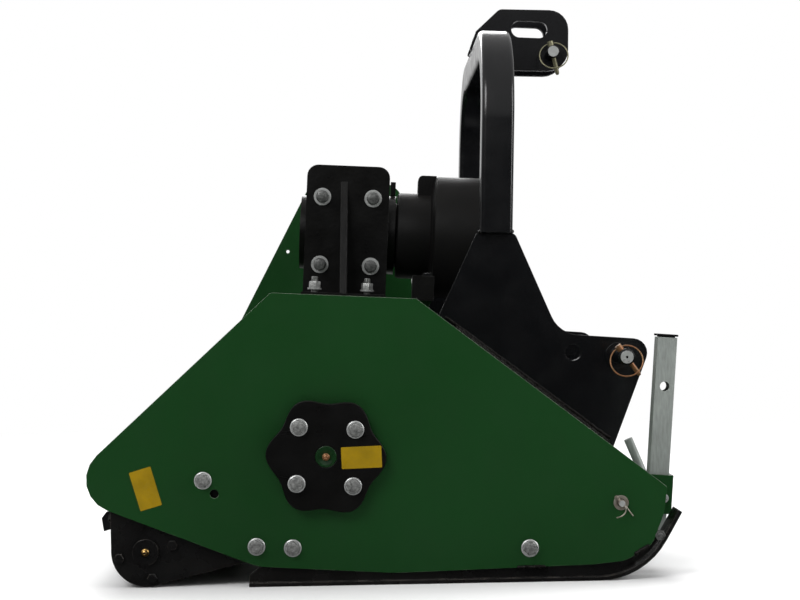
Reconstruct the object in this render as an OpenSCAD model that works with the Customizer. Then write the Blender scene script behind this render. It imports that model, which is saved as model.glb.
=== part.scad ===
// Tractor mulcher, a flail mower for a small tractor's three-point hitch, standing parked.
// X points forward to the tractor, Y to the machine's left, Z up, and the floor is Z = 0.
// The origin is on the floor under the middle of the whole machine. Inside the modules X is
// measured from the rotor axis and Y from the middle of the deck.

/* [Deck] */
// Width over the two side plates
deck_w = 1090; // [1000:10:1300]
// Thickness of a side plate
plate_t = 6; // [5:1:8]
// Thickness of the hood sheet
hood_t = 4; // [3:0.5:6]
// Height that the side plates stand proud of the hood sheet
plate_proud = 4; // [3:1:6]
// Nose-down tilt of the deck top and of what is bolted on it, in degrees
deck_tilt = 3.4; // [2:0.2:4]
// Height of the deck's rear top corner
deck_top_z = 366.5; // [360:0.5:372]
// Length of the flat deck top
deck_top_len = 182; // [176:1:190]

/* [Rotor] */
// Height of the rotor axis
rotor_z = 162; // [160:1:166]
// Outer diameter of the rotor tube
rotor_d = 76; // [70:1:76]
// Wall of the rotor tube
rotor_wall = 8; // [6:1:10]
// Radius of the circle on which the hammers are hung
hammer_circle_r = 68; // [68:1:72]
// Distance from a hammer's pin to its tip
hammer_len = 60; // [50:1:64]
// Thickness of a hammer
hammer_t = 14; // [10:1:14]
// Diameter of a hammer pin
hammer_pin_d = 16; // [14:1:18]
// Width of a hammer's eye
hammer_eye_w = 28; // [22:1:32]
// Width of a hammer's cutting edge
hammer_edge_w = 56; // [44:1:60]
// Diameter of the rotor's journals
journal_d = 35; // [30:1:40]

/* [Drive] */
// Pitch of the pinion's teeth at the wide end, measured round the pitch circle
pinion_pitch_r = 16; // [15:0.5:17]
// Diameter of the cross shaft
cross_shaft_d = 30; // [25:1:32]
// Outer diameter of the upper pulley
upper_pulley_d = 160; // [150:2:164]
// Outer diameter of the lower pulley
lower_pulley_d = 130; // [120:2:134]
// Width of both pulleys
pulley_w = 48; // [46:1:54]
// Depth of the belt cover
cover_depth = 92; // [86:1:100]
// Wall of the belt cover
cover_wall = 3; // [2:0.5:4]
// Outer diameter of the cross shaft's housing tube
shaft_tube_d = 76; // [70:1:84]

/* [Power take-off] */
// Outer diameter of the splined stub
spline_d = 34.9; // [32:0.1:36]
// Length of the stub in front of the gearbox
stub_len = 92; // [80:1:100]
// Outer diameter of the guard's narrow stage
guard_small_d = 133; // [126:1:136]
// Outer diameter of the guard's wide stage
guard_large_d = 188; // [180:1:190]
// Length of the whole guard
guard_len = 160; // [140:1:170]
// Wall of the guard
guard_wall = 4; // [3:0.5:5]

/* [Hitch] */
// Distance from the deck's middle to a hitch plate's outer face
hitch_half_w = 300; // [280:5:340]
// Thickness of a hitch plate
hitch_t = 10; // [8:1:12]
// Diameter of a lower link pin
low_pin_d = 22; // [20:0.5:24]
// Diameter of the top link pin
top_pin_d = 19; // [18:0.5:21]
// Width of the arch's square tube, front to back
arch_w = 45; // [40:1:50]
// Depth of the arch's square tube, in the plane of its bends
arch_d = 42; // [38:1:48]
// Bend radius of the arch, at the middle of the tube
arch_bend_r = 120; // [90:5:140]
// Free width between the top link plates
link_gap = 52; // [46:1:60]
// Thickness of a top link plate
link_t = 10; // [8:1:12]
// Mean radius of a linch pin's ring
ring_r = 21.5; // [20:0.5:23]
// Thickness of a ring's wire
ring_wire = 2.8; // [2.6:0.1:4]

/* [Roller and skids] */
// Outer diameter of the rear roller
roller_d = 90; // [88:1:94]
// Wall of the roller tube
roller_wall = 5; // [4:0.5:6]
// Thickness of a roller bracket
roller_bracket_t = 8; // [6:1:10]
// Width of a skid's sole
skid_w = 42; // [40:1:58]
// Thickness of a skid's sole
sole_t = 5; // [4:0.5:6]
// Thickness of a skid's web
skid_web_t = 6; // [5:1:8]

/* [Flaps and stand] */
// Number of front flaps
flap_count = 5; // [5:1:5]
// Length of a flap below the rod
flap_len = 70; // [50:1:76]
// Diameter of the flap rod
flap_rod_d = 9; // [8:0.5:11]
// Width of the parking stand's square leg
leg_w = 25; // [22:1:28]
// Length of the parking stand's leg
leg_len = 251; // [230:1:260]
// Lean of the leg to the front, in degrees
leg_lean = 4.6; // [3:0.2:5]

/* [Hidden] */
$fn = 64;

// Finishes, as the solids show them
green = [0.07, 0.27, 0.12];
black = [0.07, 0.07, 0.08];
zinc = [0.72, 0.73, 0.74];
steel = [0.48, 0.48, 0.49];
iron = [0.3, 0.3, 0.31];
brass = [0.62, 0.47, 0.22];

// Clearances
run_gap = 0.05; // radial play of a shaft or pin that turns
side_gap = 0.3; // play between faces that slide past each other
bolt_play = 0.5; // radial play of a bolt in its hole
thin = 0.1; // overshoot of a cutting tool

half_w = deck_w / 2;
inner_w = half_w - plate_t;

// Side profile as [x, z, corner radius], clockwise from the rear top corner
top_rear = [-66, deck_top_z, 6];
top_front = [top_rear.x + deck_top_len, deck_top_z - deck_top_len * tan(deck_tilt), 6];
front_nose = [424, 115.6, 5];
rear_nose = [-335.6, 123, 41];
side_corners = [
    top_rear, top_front, front_nose, [420, 84, 40], [404, 44, 22], [371, 24.5, 40],
    [330, 20.5, 90], [83, 14.5, 300], [-88, 25.5, 60], rear_nose
];
// Tower of the left plate that carries the belt drive
tower_corners = [
    [-252, 198, 0], [-50, 578, 30], [116, 578, 40], [137, 485, 30], [137, 330, 0], [0, 250, 0]
];

// Points in the side view that several pieces share
roller_pivot = [-89, 50.4];
roller_clamp = [-154.3, 134];
roller_spare = [-140.4, 117.2];
skid_bolt_rear = [-43.8, 47.8];
skid_bolt_front = [251.6, 42.4];
flap_axis = [366, 96.8];
roller_axis = [-228.4, roller_d / 2];
gear_axis = [24.4, 461.6];
rotor_axis = [0, rotor_z];
low_pin = [400.5, 272.9];
spare_hole = [338.7, 278.1];
top_pin = [344.3, 730.1];
arch_foot = [234.5, 446];
arch_top = [244.2, 723];
top_slot = [311.5, 769.6];
arch_half_w = hitch_half_w - hitch_t / 2;
arch_lean = atan2(arch_top.x - arch_foot.x, arch_top.y - arch_foot.y);
arch_h = norm(arch_top - arch_foot);
arch_wall = 4;
arch_corner = 3;

// M10 flange bolts on the side plates
m10 = 10;
m10_flange_d = 22;
bearing_bolt_square = 70;
bearing_bolts = [
    for (x = [-1, 1], z = [-1, 1])
        rotor_axis + turn([x, z] * bearing_bolt_square / 2, deck_tilt)
];

// Parking stand: the leg's lower end, and the point of its axis at a distance up the leg
leg_foot = [419.1, 50];
leg_y = -(half_w - 77.5);
sleeve_low = 25;
sleeve_len = 50;
sleeve_wall = 4;
sleeve_play = 1;
sleeve_w = leg_w + 2 * sleeve_play + 2 * sleeve_wall;
clamp_up = 45;
leg_cap_t = 4;

// Side view and frame of the whole machine
side_outline = outline(side_corners);
bearing_t = 14;
nipple_h = 10;
min_x = min([for (p = side_outline) p.x]);
max_x = leg_foot.x + (leg_len + leg_cap_t) * sin(leg_lean) + (leg_w / 2 + 1) * cos(leg_lean);
mid_x = (min_x + max_x) / 2;
mid_y = (cover_depth - bearing_t - nipple_h) / 2;

// Hood sheet, seen from the side: outer face from the rear lip to the front lip
hood_rear_x = -262;
hood_front_x = 398;
lip_rear = 34;
lip_front = 42;
hood_rear_top = on_line(inset(rear_nose, top_rear), hood_rear_x);
hood_front_top = on_line(inset(top_front, front_nose), hood_front_x);
hood_path = [
    hood_rear_top - [0, lip_rear],
    hood_rear_top,
    meet(inset(rear_nose, top_rear), inset(top_rear, top_front)),
    meet(inset(top_rear, top_front), inset(top_front, front_nose)),
    hood_front_top,
    hood_front_top - lip_front * [sin(leg_lean), cos(leg_lean)]
];
// The point of the side plate's flat top edge at a given x
function deck_line(x) = on_line([flat(top_rear), flat(top_front)], x);
slope_angle = atan2(top_front.y - front_nose.y, front_nose.x - top_front.x);
base_t = 8;

// Gearbox, in its own tilted frame with the gear axes meeting at its origin
box_x = 58;
box_y = 62;
box_z = 66;
boss_x = 74;
input_bearing_d = 72;
input_bearing_w = 17;
cross_bearing_d = 62;
cross_bearing_w = 16;
pinion_teeth = 12;
crown_teeth = 36;
apex_to_pinion = pinion_pitch_r * crown_teeth / pinion_teeth;
crown_r = apex_to_pinion + 2;
pinion_back = 54;
bracket_t = 10;
bracket_half_w = 63;
bracket_top = 100.2;
bracket_bolt_x = 38.5;
bracket_bolt_z = 51.5;
m12 = 12;
washer_d = 27.2;
foot_washer_d = 24;
deck_top_drop = gear_axis.y - on_line(inset(top_rear, top_front), gear_axis.x).y;
foot_z = -deck_top_drop * cos(deck_tilt);
foot_t = 10;
foot_reach = 78;
foot_stud_y = 56;
foot_stud_x = [-43.5, 34.7];
foot_stud_d = 10;
breather_x = 69;
breather_low = 52;
breather_d = 8;

// Belt drive
belt_count = 3;
belt_pitch = 15;
belt_h = 8;
belt_top_w = 12.6;
groove_h = 11;
groove_top_w = 13;
groove_low_w = 8;
belt_lift = 0.6;
pulley_y = half_w + 36;
drive_vector = gear_axis - rotor_axis;
drive_len = norm(drive_vector);
drive_angle = atan2(drive_vector.y, drive_vector.x);
cover_upper_r = upper_pulley_d / 2 + 18;
cover_lower_r = lower_pulley_d / 2 + 27;
cover_rim = 12;

// Rotor
rotor_end = inner_w - 14;
ear_t = 8;
ear_r = 14;
hammers_in_row = 4;
hammer_step = (2 * rotor_end - 90) / (4 * hammers_in_row - 1);
row_angles = [45, 135, 225, 315];
left_bearing_t = 28;

// Roller and its brackets
bracket_gap = 5;
bracket_y = inner_w - bracket_gap;
roller_up = 10;
roller_down = 8;
bracket_end_r = roller_d / 2 - 1.5;
pivot_boss_r = 17;
stub_d = 25;
ear_bolt_r = 34.2;
ear_bolt_turn = 13;
hub_d = 33;
hub_out = 4.5;
scraper_x = -272;
roller_half = bracket_y - roller_bracket_t - 16;

// Skids
skid_tail = -99;
skid_bend_x = 338;
skid_bend_r = 97;
skid_bend_angle = 60;
skid_tip_len = 40.5;

// Flaps
flap_t = 4;
flap_room = inner_w - 9;
flap_gap = 3;

function unit(v) = v / norm(v);

// A side-view vector turned nose-down by an angle
function turn(p, a) = [p.x * cos(a) + p.y * sin(a), -p.x * sin(a) + p.y * cos(a)];

// Two points of the line from a to b, moved inwards by the proud height of the side plates
function inset(a, b) =
    let (u = unit([b.x - a.x, b.y - a.y]), n = [u.y, -u.x] * plate_proud)
    [[a.x, a.y] + n, [b.x, b.y] + n];

// The point of a line at a given x, and the point where two lines meet
function on_line(l, x) = l[0] + (l[1] - l[0]) * (x - l[0].x) / (l[1].x - l[0].x);
function cross_2d(a, b) = a.x * b.y - a.y * b.x;
function meet(l, m) =
    l[0] + (l[1] - l[0]) * cross_2d(m[0] - l[0], m[1] - m[0]) / cross_2d(l[1] - l[0], m[1] - m[0]);

// Corner b of an outline as an arc of radius r between the neighbours a and c
function round_corner(a, b, c, r, n) =
    let (
        u = unit(a - b),
        v = unit(c - b),
        half = acos(u * v) / 2,
        m = b + unit(u + v) * r / sin(half),
        p = b + u * r / tan(half) - m,
        q = b + v * r / tan(half) - m,
        start = atan2(p.y, p.x),
        sweep = (atan2(q.y, q.x) - start + 540) % 360 - 180
    )
    [for (i = [0:n]) m + r * [cos(start + sweep * i / n), sin(start + sweep * i / n)]];

// Outline from corners given as [x, z, radius]
function flat(p) = [p.x, p.y];
function outline(corners, n = 6) = [
    for (i = [0:len(corners) - 1])
        let (k = len(corners), p = corners[i], a = corners[(i + k - 1) % k], c = corners[(i + 1) % k])
        each p.z > 0 ? round_corner(flat(a), flat(p), flat(c), p.z, n) : [flat(p)]
];

// Point i of an open path moved sideways to its right by d, with mitred bends
function side_step(path, i, d) =
    let (
        last = len(path) - 1,
        u = unit(path[min(i + 1, last)] - path[min(i, last - 1)]),
        v = unit(path[max(i, 1)] - path[max(i - 1, 0)]),
        n = [u.y, -u.x] + [v.y, -v.x]
    )
    path[i] + n * d / (1 + u * v);
function sheet(path, d) = concat(
    path,
    [for (i = [len(path) - 1:-1:0]) side_step(path, i, d)]
);

// Everything is shifted once, so that the origin lies under the middle of the machine
module at_frame() {
    translate([-mid_x, -mid_y, 0]) children();
}

// A flat shape of the side view, as thick as t, starting at y
module slab(y, t) {
    translate([0, y + t, 0]) rotate([90, 0, 0]) linear_extrude(t) children();
}

// A round bar or hole across the machine, between two places in y
module bar(p, d, y0, y1) {
    translate([p.x, y1, p.y]) rotate([90, 0, 0]) cylinder(d = d, h = y1 - y0);
}

// A washer or tube across the machine
module ring(p, d, hole_d, y0, y1) {
    difference() {
        bar(p, d, y0, y1);
        bar(p, hole_d, y0 - thin, y1 + thin);
    }
}

module mirrored() {
    mirror([0, 1, 0]) children();
}

module both_sides() {
    children();
    mirrored() children();
}

// The tilted frame of the gearbox
module on_deck() {
    translate([gear_axis.x, 0, gear_axis.y]) rotate([0, deck_tilt, 0]) children();
}

// A bar along the tilted frame's X axis
module bar_x(d, x0, x1) {
    translate([x0, 0, 0]) rotate([0, 90, 0]) cylinder(d = d, h = x1 - x0);
}

// Flange bolt whose head faces the right side, seated on the plane y
module flange_bolt(p, y, grip) {
    head = 8;
    bar(p, m10_flange_d, y - 2.5, y);
    translate([p.x, y - 2.5, p.y]) rotate([90, 0, 0]) cylinder(d = 16.6, h = head - 2.5, $fn = 6);
    bar(p, m10, y, y + grip);
}

module side_plate_holes() {
    for (p = concat(bearing_bolts, [roller_pivot, roller_clamp, roller_spare, skid_bolt_rear, skid_bolt_front]))
        bar(p, m10 + 2 * bolt_play, -half_w - thin, -inner_w + thin);
    bar(rotor_axis, journal_d + 25, -half_w - thin, -inner_w + thin);
    bar(flap_axis, flap_rod_d + 2 * bolt_play, -half_w - thin, -inner_w + thin);
}

module side_plate_right() at_frame() color(green) {
    difference() {
        slab(-half_w, plate_t) polygon(side_outline);
        side_plate_holes();
    }
}

module side_plate_left() at_frame() color(green) {
    difference() {
        mirrored() slab(-half_w, plate_t) union() {
            polygon(side_outline);
            polygon(outline(tower_corners));
        }
        mirrored() side_plate_holes();
        bar(gear_axis, cross_shaft_d + 12, inner_w - thin, half_w + thin);
        bar([-94, 453], 6.2, inner_w - thin, half_w + thin);
    }
}

// Bent hood sheet between the side plates, with a ledge on its front upper bend
ledge_half_w = 285;
ledge_front = deck_line(144.7);
module hood_shell() at_frame() color(green) {
    slab(-inner_w, 2 * inner_w) polygon(sheet(hood_path, hood_t));
    slab(-ledge_half_w, 2 * ledge_half_w) polygon([
        deck_line(108) - [0, 5.2], deck_line(108), ledge_front,
        on_line([hood_path[3], hood_path[4]], 135.3) - [sin(slope_angle), cos(slope_angle)],
        hood_path[3] - [0, 1.2]
    ]);
}

// Frame of the hitch base: origin on the hood's front slope at its upper bend, x down the slope
module on_slope() {
    translate([hood_path[3].x, 0, hood_path[3].y]) rotate([0, slope_angle, 0]) children();
}

// Base plate on the slope, and the cross plate that stands on the ledge under the guard
module hitch_base() at_frame() color(black) {
    base_len = 321;
    on_slope() translate([27, -hitch_half_w - 20, 0]) cube([base_len, 2 * hitch_half_w + 40, base_t]);
    foot = deck_line(131.5);
    cross_h = 38;
    notch = guard_small_d / 2 + 4;
    translate([foot.x, 0, foot.y]) rotate([0, deck_tilt, 0]) rotate([90, 0, 90]) linear_extrude(10) polygon([
        [-ledge_half_w, 0], [-ledge_half_w, cross_h], [-notch, cross_h], [-notch, cross_h - 7.5],
        [notch, cross_h - 7.5], [notch, cross_h], [ledge_half_w, cross_h], [ledge_half_w, 0]
    ]);
}

// Hitch plate: it stands on the base plate and carries a lower link pin
base_line = [for (p = [hood_path[3], hood_path[4]]) p + base_t * [sin(slope_angle), cos(slope_angle)]];
hitch_corners = [
    [208, arch_foot.y + (arch_foot.x - 208) * tan(arch_lean), 4],
    [261, arch_foot.y + (arch_foot.x - 261) * tan(arch_lean), 9], [319.9, 304.3, 43], [450, 293.8, 20],
    [on_line(base_line, 392).x, on_line(base_line, 392).y, 0],
    [on_line(base_line, 153).x, on_line(base_line, 153).y, 0]
];

module hitch_plate() {
    difference() {
        slab(-hitch_half_w, hitch_t) polygon(outline(hitch_corners));
        bar(low_pin, low_pin_d, -hitch_half_w - thin, -hitch_half_w + hitch_t + thin);
        bar(spare_hole, low_pin_d + 0.4, -hitch_half_w - thin, -hitch_half_w + hitch_t + thin);
    }
}

module hitch_plate_right() at_frame() color(black) {
    hitch_plate();
}

module hitch_plate_left() at_frame() color(black) {
    mirrored() hitch_plate();
}

// Section of the arch's tube with broken corners, a wide and b deep
module tube_section(a, b) {
    polygon([
        for (s = [[1, 1], [-1, 1], [-1, -1], [1, -1]], i = [0, 1])
            let (first = (s.x * s.y > 0) == (i == 0))
            [s.x * (a / 2 - (first ? 0 : arch_corner)), s.y * (b / 2 - (first ? arch_corner : 0))]
    ]);
}

// Arch: a bent square tube whose legs stand on the hitch plates
module arch_bar(less) {
    straight = arch_h - arch_bend_r;
    w = arch_w - less;
    d = arch_d - less;
    translate([arch_foot.x, 0, arch_foot.y]) rotate([0, arch_lean, 0]) {
        for (side = [-1, 1]) {
            translate([0, side * arch_half_w, 0]) linear_extrude(straight) tube_section(w, d);
            translate([0, side * (arch_half_w - arch_bend_r), straight])
                rotate([90, 0, side * 90]) rotate_extrude(angle = 90)
                    translate([arch_bend_r, 0]) tube_section(d, w);
        }
        translate([0, arch_bend_r - arch_half_w, arch_h]) rotate([-90, 0, 0])
            linear_extrude(2 * (arch_half_w - arch_bend_r)) tube_section(w, d);
    }
}

module hitch_arch() at_frame() color(black) {
    difference() {
        arch_bar(0);
        arch_bar(2 * arch_wall);
    }
}

// Two plates on the arch that take the tractor's top link
link_corners = [
    [219, 741, 2], [229, 768, 4], [266, 801.5, 12], [372.5, 797.5, 30], [370, 704, 32], [258, 708, 2]
];
slot_len = 55.6;
slot_h = 26;

module link_plate(y) {
    difference() {
        slab(y, link_t) difference() {
            polygon(outline(link_corners));
            translate(arch_top) rotate(-arch_lean) tube_section(arch_w, arch_d);
            translate(top_slot) rotate(-deck_tilt) {
                square([slot_len - slot_h, slot_h], center = true);
                for (side = [-1, 1]) translate([side * (slot_len - slot_h) / 2, 0]) circle(d = slot_h);
            }
        }
        bar(top_pin, top_pin_d + 2 * run_gap, y - thin, y + link_t + thin);
    }
}

module top_link_plates() at_frame() color(black) {
    link_plate(-link_gap / 2 - link_t);
    link_plate(link_gap / 2);
}

// Pins of the three hitch points, each cross-drilled for a linch pin
linch_d = 6.4;
low_pin_out = 88;
low_linch_y = -hitch_half_w - 78;
low_linch_turn = 36;
top_pin_out = 34;
top_linch_y = -link_gap / 2 - link_t - 21;
top_linch_turn = 12;

// The bore of a linch pin through a link pin at p, leaning back by an angle
module linch_bore(p, y, lean) {
    translate([p.x, y, p.y]) rotate([0, -lean, 0]) cylinder(d = linch_d, h = 60, center = true);
}

// The end of a link pin: a bar from y0 to y1 whose near end at y0 is chamfered by c
module chamfered_bar(p, d, y0, y1, c) {
    bar(p, d, y0 + c, y1);
    translate([p.x, y0 + c, p.y]) rotate([90, 0, 0]) cylinder(d1 = d, d2 = d - 2 * c, h = c);
}

module lower_pin() {
    difference() {
        union() {
            chamfered_bar(low_pin, low_pin_d, -hitch_half_w - low_pin_out, -hitch_half_w + hitch_t + 14, 2.2);
            ring(low_pin, low_pin_d + 14, low_pin_d, -hitch_half_w - 6, -hitch_half_w);
            translate([low_pin.x, -hitch_half_w + hitch_t + 14, low_pin.y])
                rotate([90, 0, 0]) cylinder(d = 36, h = 14, $fn = 6);
        }
        linch_bore(low_pin, low_linch_y, low_linch_turn);
    }
}

module lower_link_pins() at_frame() color(zinc) {
    both_sides() lower_pin();
}

module top_link_pin() at_frame() color(zinc) {
    near = -link_gap / 2 - link_t - top_pin_out;
    difference() {
        union() {
            chamfered_bar(top_pin, top_pin_d, near, link_gap / 2 + link_t, 1.3);
            bar(top_pin, top_pin_d + 13, link_gap / 2 + link_t, link_gap / 2 + link_t + 7);
        }
        linch_bore(top_pin, top_linch_y, top_linch_turn);
    }
}

// Linch pin: a stem with a drilled head above the link pin
low_head_up = low_pin_d / 2 + 4;
top_head_up = top_pin_d / 2 + 4;
low_ring_twist = 10;
ring_bar_d = ring_wire - 0.6;
module linch_pin(p, y, lean, down, up, twist) {
    translate([p.x, y, p.y]) rotate([0, -lean, 0]) {
        translate([0, 0, -down]) cylinder(d = linch_d, h = down + up - 3);
        translate([0, 0, -down - 3]) cylinder(d1 = linch_d - 3, d2 = linch_d, h = 3);
        difference() {
            translate([0, 0, up - 3.8]) cylinder(d = 9.4, h = 7.8);
            translate([0, 0, up]) rotate([0, 90 + twist, 0])
                cylinder(d = ring_bar_d + 2 * run_gap, h = 20, center = true);
        }
    }
}

module linch_pins() at_frame() color(brass) {
    both_sides() linch_pin(low_pin, low_linch_y, low_linch_turn, 28, low_head_up, low_ring_twist);
    linch_pin(top_pin, top_linch_y, top_linch_turn, 32, top_head_up, 0);
}

// Ring that hangs in the linch pin's head round the link pin: a bar in the head closes the loop
ring_chord = 6.6;
ring_tilt = 20;
module linch_ring(p, y, lean, up, twist) {
    drop = sqrt(ring_r * ring_r - ring_chord * ring_chord);
    open = asin(ring_chord / ring_r);
    translate([p.x, y, p.y]) rotate([0, -lean, 0]) translate([0, 0, up]) rotate([0, twist, 0]) rotate([-ring_tilt, 0, 0]) {
        translate([0, 0, -drop]) rotate([90, 0, 0]) rotate([0, 0, 90 + open])
            rotate_extrude(angle = 360 - 2 * open) translate([ring_r, 0]) circle(d = ring_wire, $fn = 24);
        rotate([0, 90, 0]) cylinder(d = ring_bar_d, h = 2 * ring_chord + 1, center = true);
    }
}

module linch_ring_right() at_frame() color(brass) {
    linch_ring(low_pin, low_linch_y, low_linch_turn, low_head_up, low_ring_twist);
}

module linch_ring_left() at_frame() color(brass) {
    mirrored() linch_ring(low_pin, low_linch_y, low_linch_turn, low_head_up, low_ring_twist);
}

module linch_ring_top() at_frame() color(brass) {
    linch_ring(top_pin, top_linch_y, top_linch_turn, top_head_up, 0);
}

// Cast gearbox: a rounded block with a boss in front for the input shaft and one on the left
module gearbox_housing() at_frame() color(iron) on_deck() {
    block_r = 14;
    block = [[-box_x, -box_z, block_r], [-box_x, box_z, block_r], [box_x, box_z, block_r], [box_x, -box_z, block_r]];
    difference() {
        union() {
            slab(-box_y, 2 * box_y) polygon(outline(block));
            bar_x(122, box_x - 1, boss_x);
            bar([0, 0], 92, box_y - 1, box_y + 10);
        }
        bar_x(2 * (crown_r + 4), -box_x + 12, box_x - 16);
        bar_x(104, -box_x - thin, -box_x + 12 + thin);
        bar_x(input_bearing_d, boss_x - input_bearing_w - 6, boss_x - 6);
        bar_x(spline_d + 20, box_x - 17, boss_x + thin);
        bar([0, 0], cross_bearing_d, pinion_back, box_y + 10 + thin);
        bar([0, 0], cross_shaft_d + 12, pinion_back - 14, pinion_back + thin);
        for (x = [-1, 1], z = [-1, 1])
            bar([x * bracket_bolt_x, z * bracket_bolt_z], m12, -box_y - thin, -box_y + 16);
        translate([breather_x, 0, breather_low]) cylinder(d = breather_d + 2 * run_gap, h = 20);
    }
}

// Rear cover of the gearbox with the rear bearing's seat
module gearbox_end_cap() at_frame() color(black) on_deck() {
    difference() {
        union() {
            bar_x(114, -box_x - 14, -box_x);
            bar_x(104 - 2 * bolt_play, -box_x, -box_x + 10);
        }
        bar_x(input_bearing_d, -box_x - 8, -box_x + 10 + thin);
    }
}

// Bracket that bolts the gearbox down on the deck: plate, foot and gusset in one weldment
module gearbox_bracket() at_frame() color(black) on_deck() {
    plate = [
        [-bracket_half_w, foot_z, 0], [-bracket_half_w, bracket_top, 17],
        [bracket_half_w, bracket_top, 17], [bracket_half_w, foot_z, 0]
    ];
    gusset_t = 10;
    gusset_lean = 2;
    difference() {
        union() {
            slab(-box_y - bracket_t, bracket_t) polygon(outline(plate));
            translate([-bracket_half_w, -box_y - foot_reach, foot_z])
                cube([2 * bracket_half_w, foot_reach - bracket_t, foot_t]);
            translate([gusset_t / 2 - 0.4, -box_y - bracket_t, foot_z + foot_t - 1]) rotate([0, -gusset_lean, 0])
                rotate([90, 0, -90]) linear_extrude(gusset_t)
                    polygon([[0, 0], [foot_reach - bracket_t - 4, 0], [0, 77 - foot_z - foot_t]]);
        }
        for (x = [-1, 1], z = [-1, 1])
            bar([x * bracket_bolt_x, z * bracket_bolt_z], m12 + 2 * bolt_play,
                -box_y - bracket_t - thin, -box_y + thin);
        for (x = foot_stud_x) translate([x, -box_y - foot_stud_y, foot_z - thin])
            cylinder(d = foot_stud_d + 2 * bolt_play, h = foot_t + 2 * thin);
    }
}

// Four bolts with washers through the bracket, and two studs with nuts on its foot
module gearbox_bolts() at_frame() color(zinc) on_deck() {
    face = -box_y - bracket_t;
    for (x = [-1, 1], z = [-1, 1]) {
        p = [x * bracket_bolt_x, z * bracket_bolt_z];
        bar(p, m12, face, -box_y + 16);
        bar(p, washer_d, face - 2.5, face);
        translate([p.x, face - 2.5, p.y]) rotate([90, 0, 0]) cylinder(d = 20.8, h = 7.5, $fn = 6);
    }
    for (x = foot_stud_x) translate([x, -box_y - foot_stud_y, foot_z]) {
        cylinder(d = foot_stud_d, h = foot_t + 19.5);
        translate([0, 0, foot_t]) cylinder(d = foot_washer_d, h = 2.5);
        translate([0, 0, foot_t + 2.5]) cylinder(d = 19.6, h = 10, $fn = 6);
    }
}

// Filler plug on top and breather on the front boss
module gearbox_plugs() at_frame() color(black) on_deck() {
    translate([30, 10, box_z]) {
        cylinder(d = 22, h = 4, $fn = 6);
        cylinder(d = 15, h = 12);
    }
    translate([breather_x, 0, breather_low]) cylinder(d = breather_d, h = 31);
}

module bearing_x(x, d, hole_d) {
    difference() {
        bar_x(d - bolt_play / 8, x, x + input_bearing_w);
        bar_x(hole_d + 2 * run_gap, x - thin, x + input_bearing_w + thin);
    }
}

// Two bearings on the input shaft and two on the cross shaft
module gearbox_bearings() at_frame() color(steel) {
    on_deck() {
        bearing_x(boss_x - input_bearing_w - 6, input_bearing_d, spline_d);
        bearing_x(-box_x - 8, input_bearing_d, spline_d);
    }
    for (y = [pinion_back, inner_w - cross_bearing_w - 4])
        ring(gear_axis, cross_bearing_d - bolt_play / 8, cross_shaft_d + 2 * run_gap, y, y + cross_bearing_w);
}

// Input shaft with the splined stub that the drive line is pushed on
module input_shaft() at_frame() color(steel) on_deck() {
    minor_d = spline_d - 5.3;
    tooth_w = 8.7;
    groove_at = 38;
    shaft_rear = -box_x - 6;
    stub_end = boss_x + stub_len;
    bar_x(spline_d, shaft_rear, boss_x + 8);
    difference() {
        translate([boss_x + 8, 0, 0]) rotate([90, 0, 90]) linear_extrude(stub_len - 8) {
            circle(d = minor_d);
            intersection() {
                circle(d = spline_d);
                for (i = [0:2]) rotate(60 * i) square([2 * spline_d, tooth_w], center = true);
            }
        }
        translate([stub_end - groove_at - 7, 0, 0]) rotate([0, 90, 0]) difference() {
            cylinder(d = spline_d + 2, h = 7);
            translate([0, 0, -thin]) cylinder(d = minor_d - 0.2, h = 7 + 2 * thin);
        }
    }
}

// Outline of a bevel gear in a plane square to its axis at distance h from the apex
module bevel_outline(teeth, cone, h, slack) {
    pitch = 360 / teeth;
    rise = atan(2.1 / norm([apex_to_pinion, pinion_pitch_r]));
    fall = atan(2.9 / norm([apex_to_pinion, pinion_pitch_r]));
    tip_r = h * tan(cone + rise);
    root_r = h * tan(cone - fall);
    tip_half = pitch * (0.25 - 0.11) - slack;
    root_half = pitch * (0.25 + 0.1) - slack;
    polygon([
        for (i = [0:teeth - 1], k = [0:3])
            let (
                r = k == 0 || k == 3 ? root_r : tip_r,
                a = pitch * i + [-root_half, -tip_half, tip_half, root_half][k]
            )
            r * [cos(a), sin(a)]
    ]);
}

// Bevel gears whose teeth all run to the point where the two axes meet
pinion_cone = atan(pinion_teeth / crown_teeth);
crown_cone = 90 - pinion_cone;
crown_wide_h = 21;
crown_narrow_h = 10;
pinion_narrow_h = 35;

module crown_gear() at_frame() color(steel) on_deck() {
    difference() {
        intersection() {
            union() {
                translate([-crown_wide_h, 0, 0]) rotate([90, 0, 90])
                    linear_extrude(crown_wide_h - crown_narrow_h, scale = crown_narrow_h / crown_wide_h)
                        bevel_outline(crown_teeth, crown_cone, crown_wide_h, 0.5);
                bar_x(2 * crown_r, -crown_wide_h - 8, -crown_wide_h);
                bar_x(58, -40, -crown_wide_h - 8);
            }
            bar_x(2 * crown_r, -41, 0);
        }
        bar_x(spline_d, -42, 1);
    }
}

module bevel_pinion() at_frame() color(steel) {
    difference() {
        union() {
            on_deck() translate([0, apex_to_pinion, 0]) rotate([90, 0, 0])
                linear_extrude(apex_to_pinion - pinion_narrow_h, scale = pinion_narrow_h / apex_to_pinion)
                    rotate(180 / pinion_teeth) bevel_outline(pinion_teeth, pinion_cone, apex_to_pinion, 1.5);
            bar(gear_axis, 25, apex_to_pinion, pinion_back - 2);
        }
        bar(gear_axis, 12, apex_to_pinion - 6, pinion_back);
    }
}

module cross_shaft() at_frame() color(steel) {
    bar(gear_axis, 12, apex_to_pinion - 6, pinion_back - 2);
    bar(gear_axis, cross_shaft_d, pinion_back - 2, pulley_y + pulley_w + 1);
    bar(gear_axis, 25, pulley_y + pulley_w + 1, pulley_y + pulley_w + 3);
}

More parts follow.
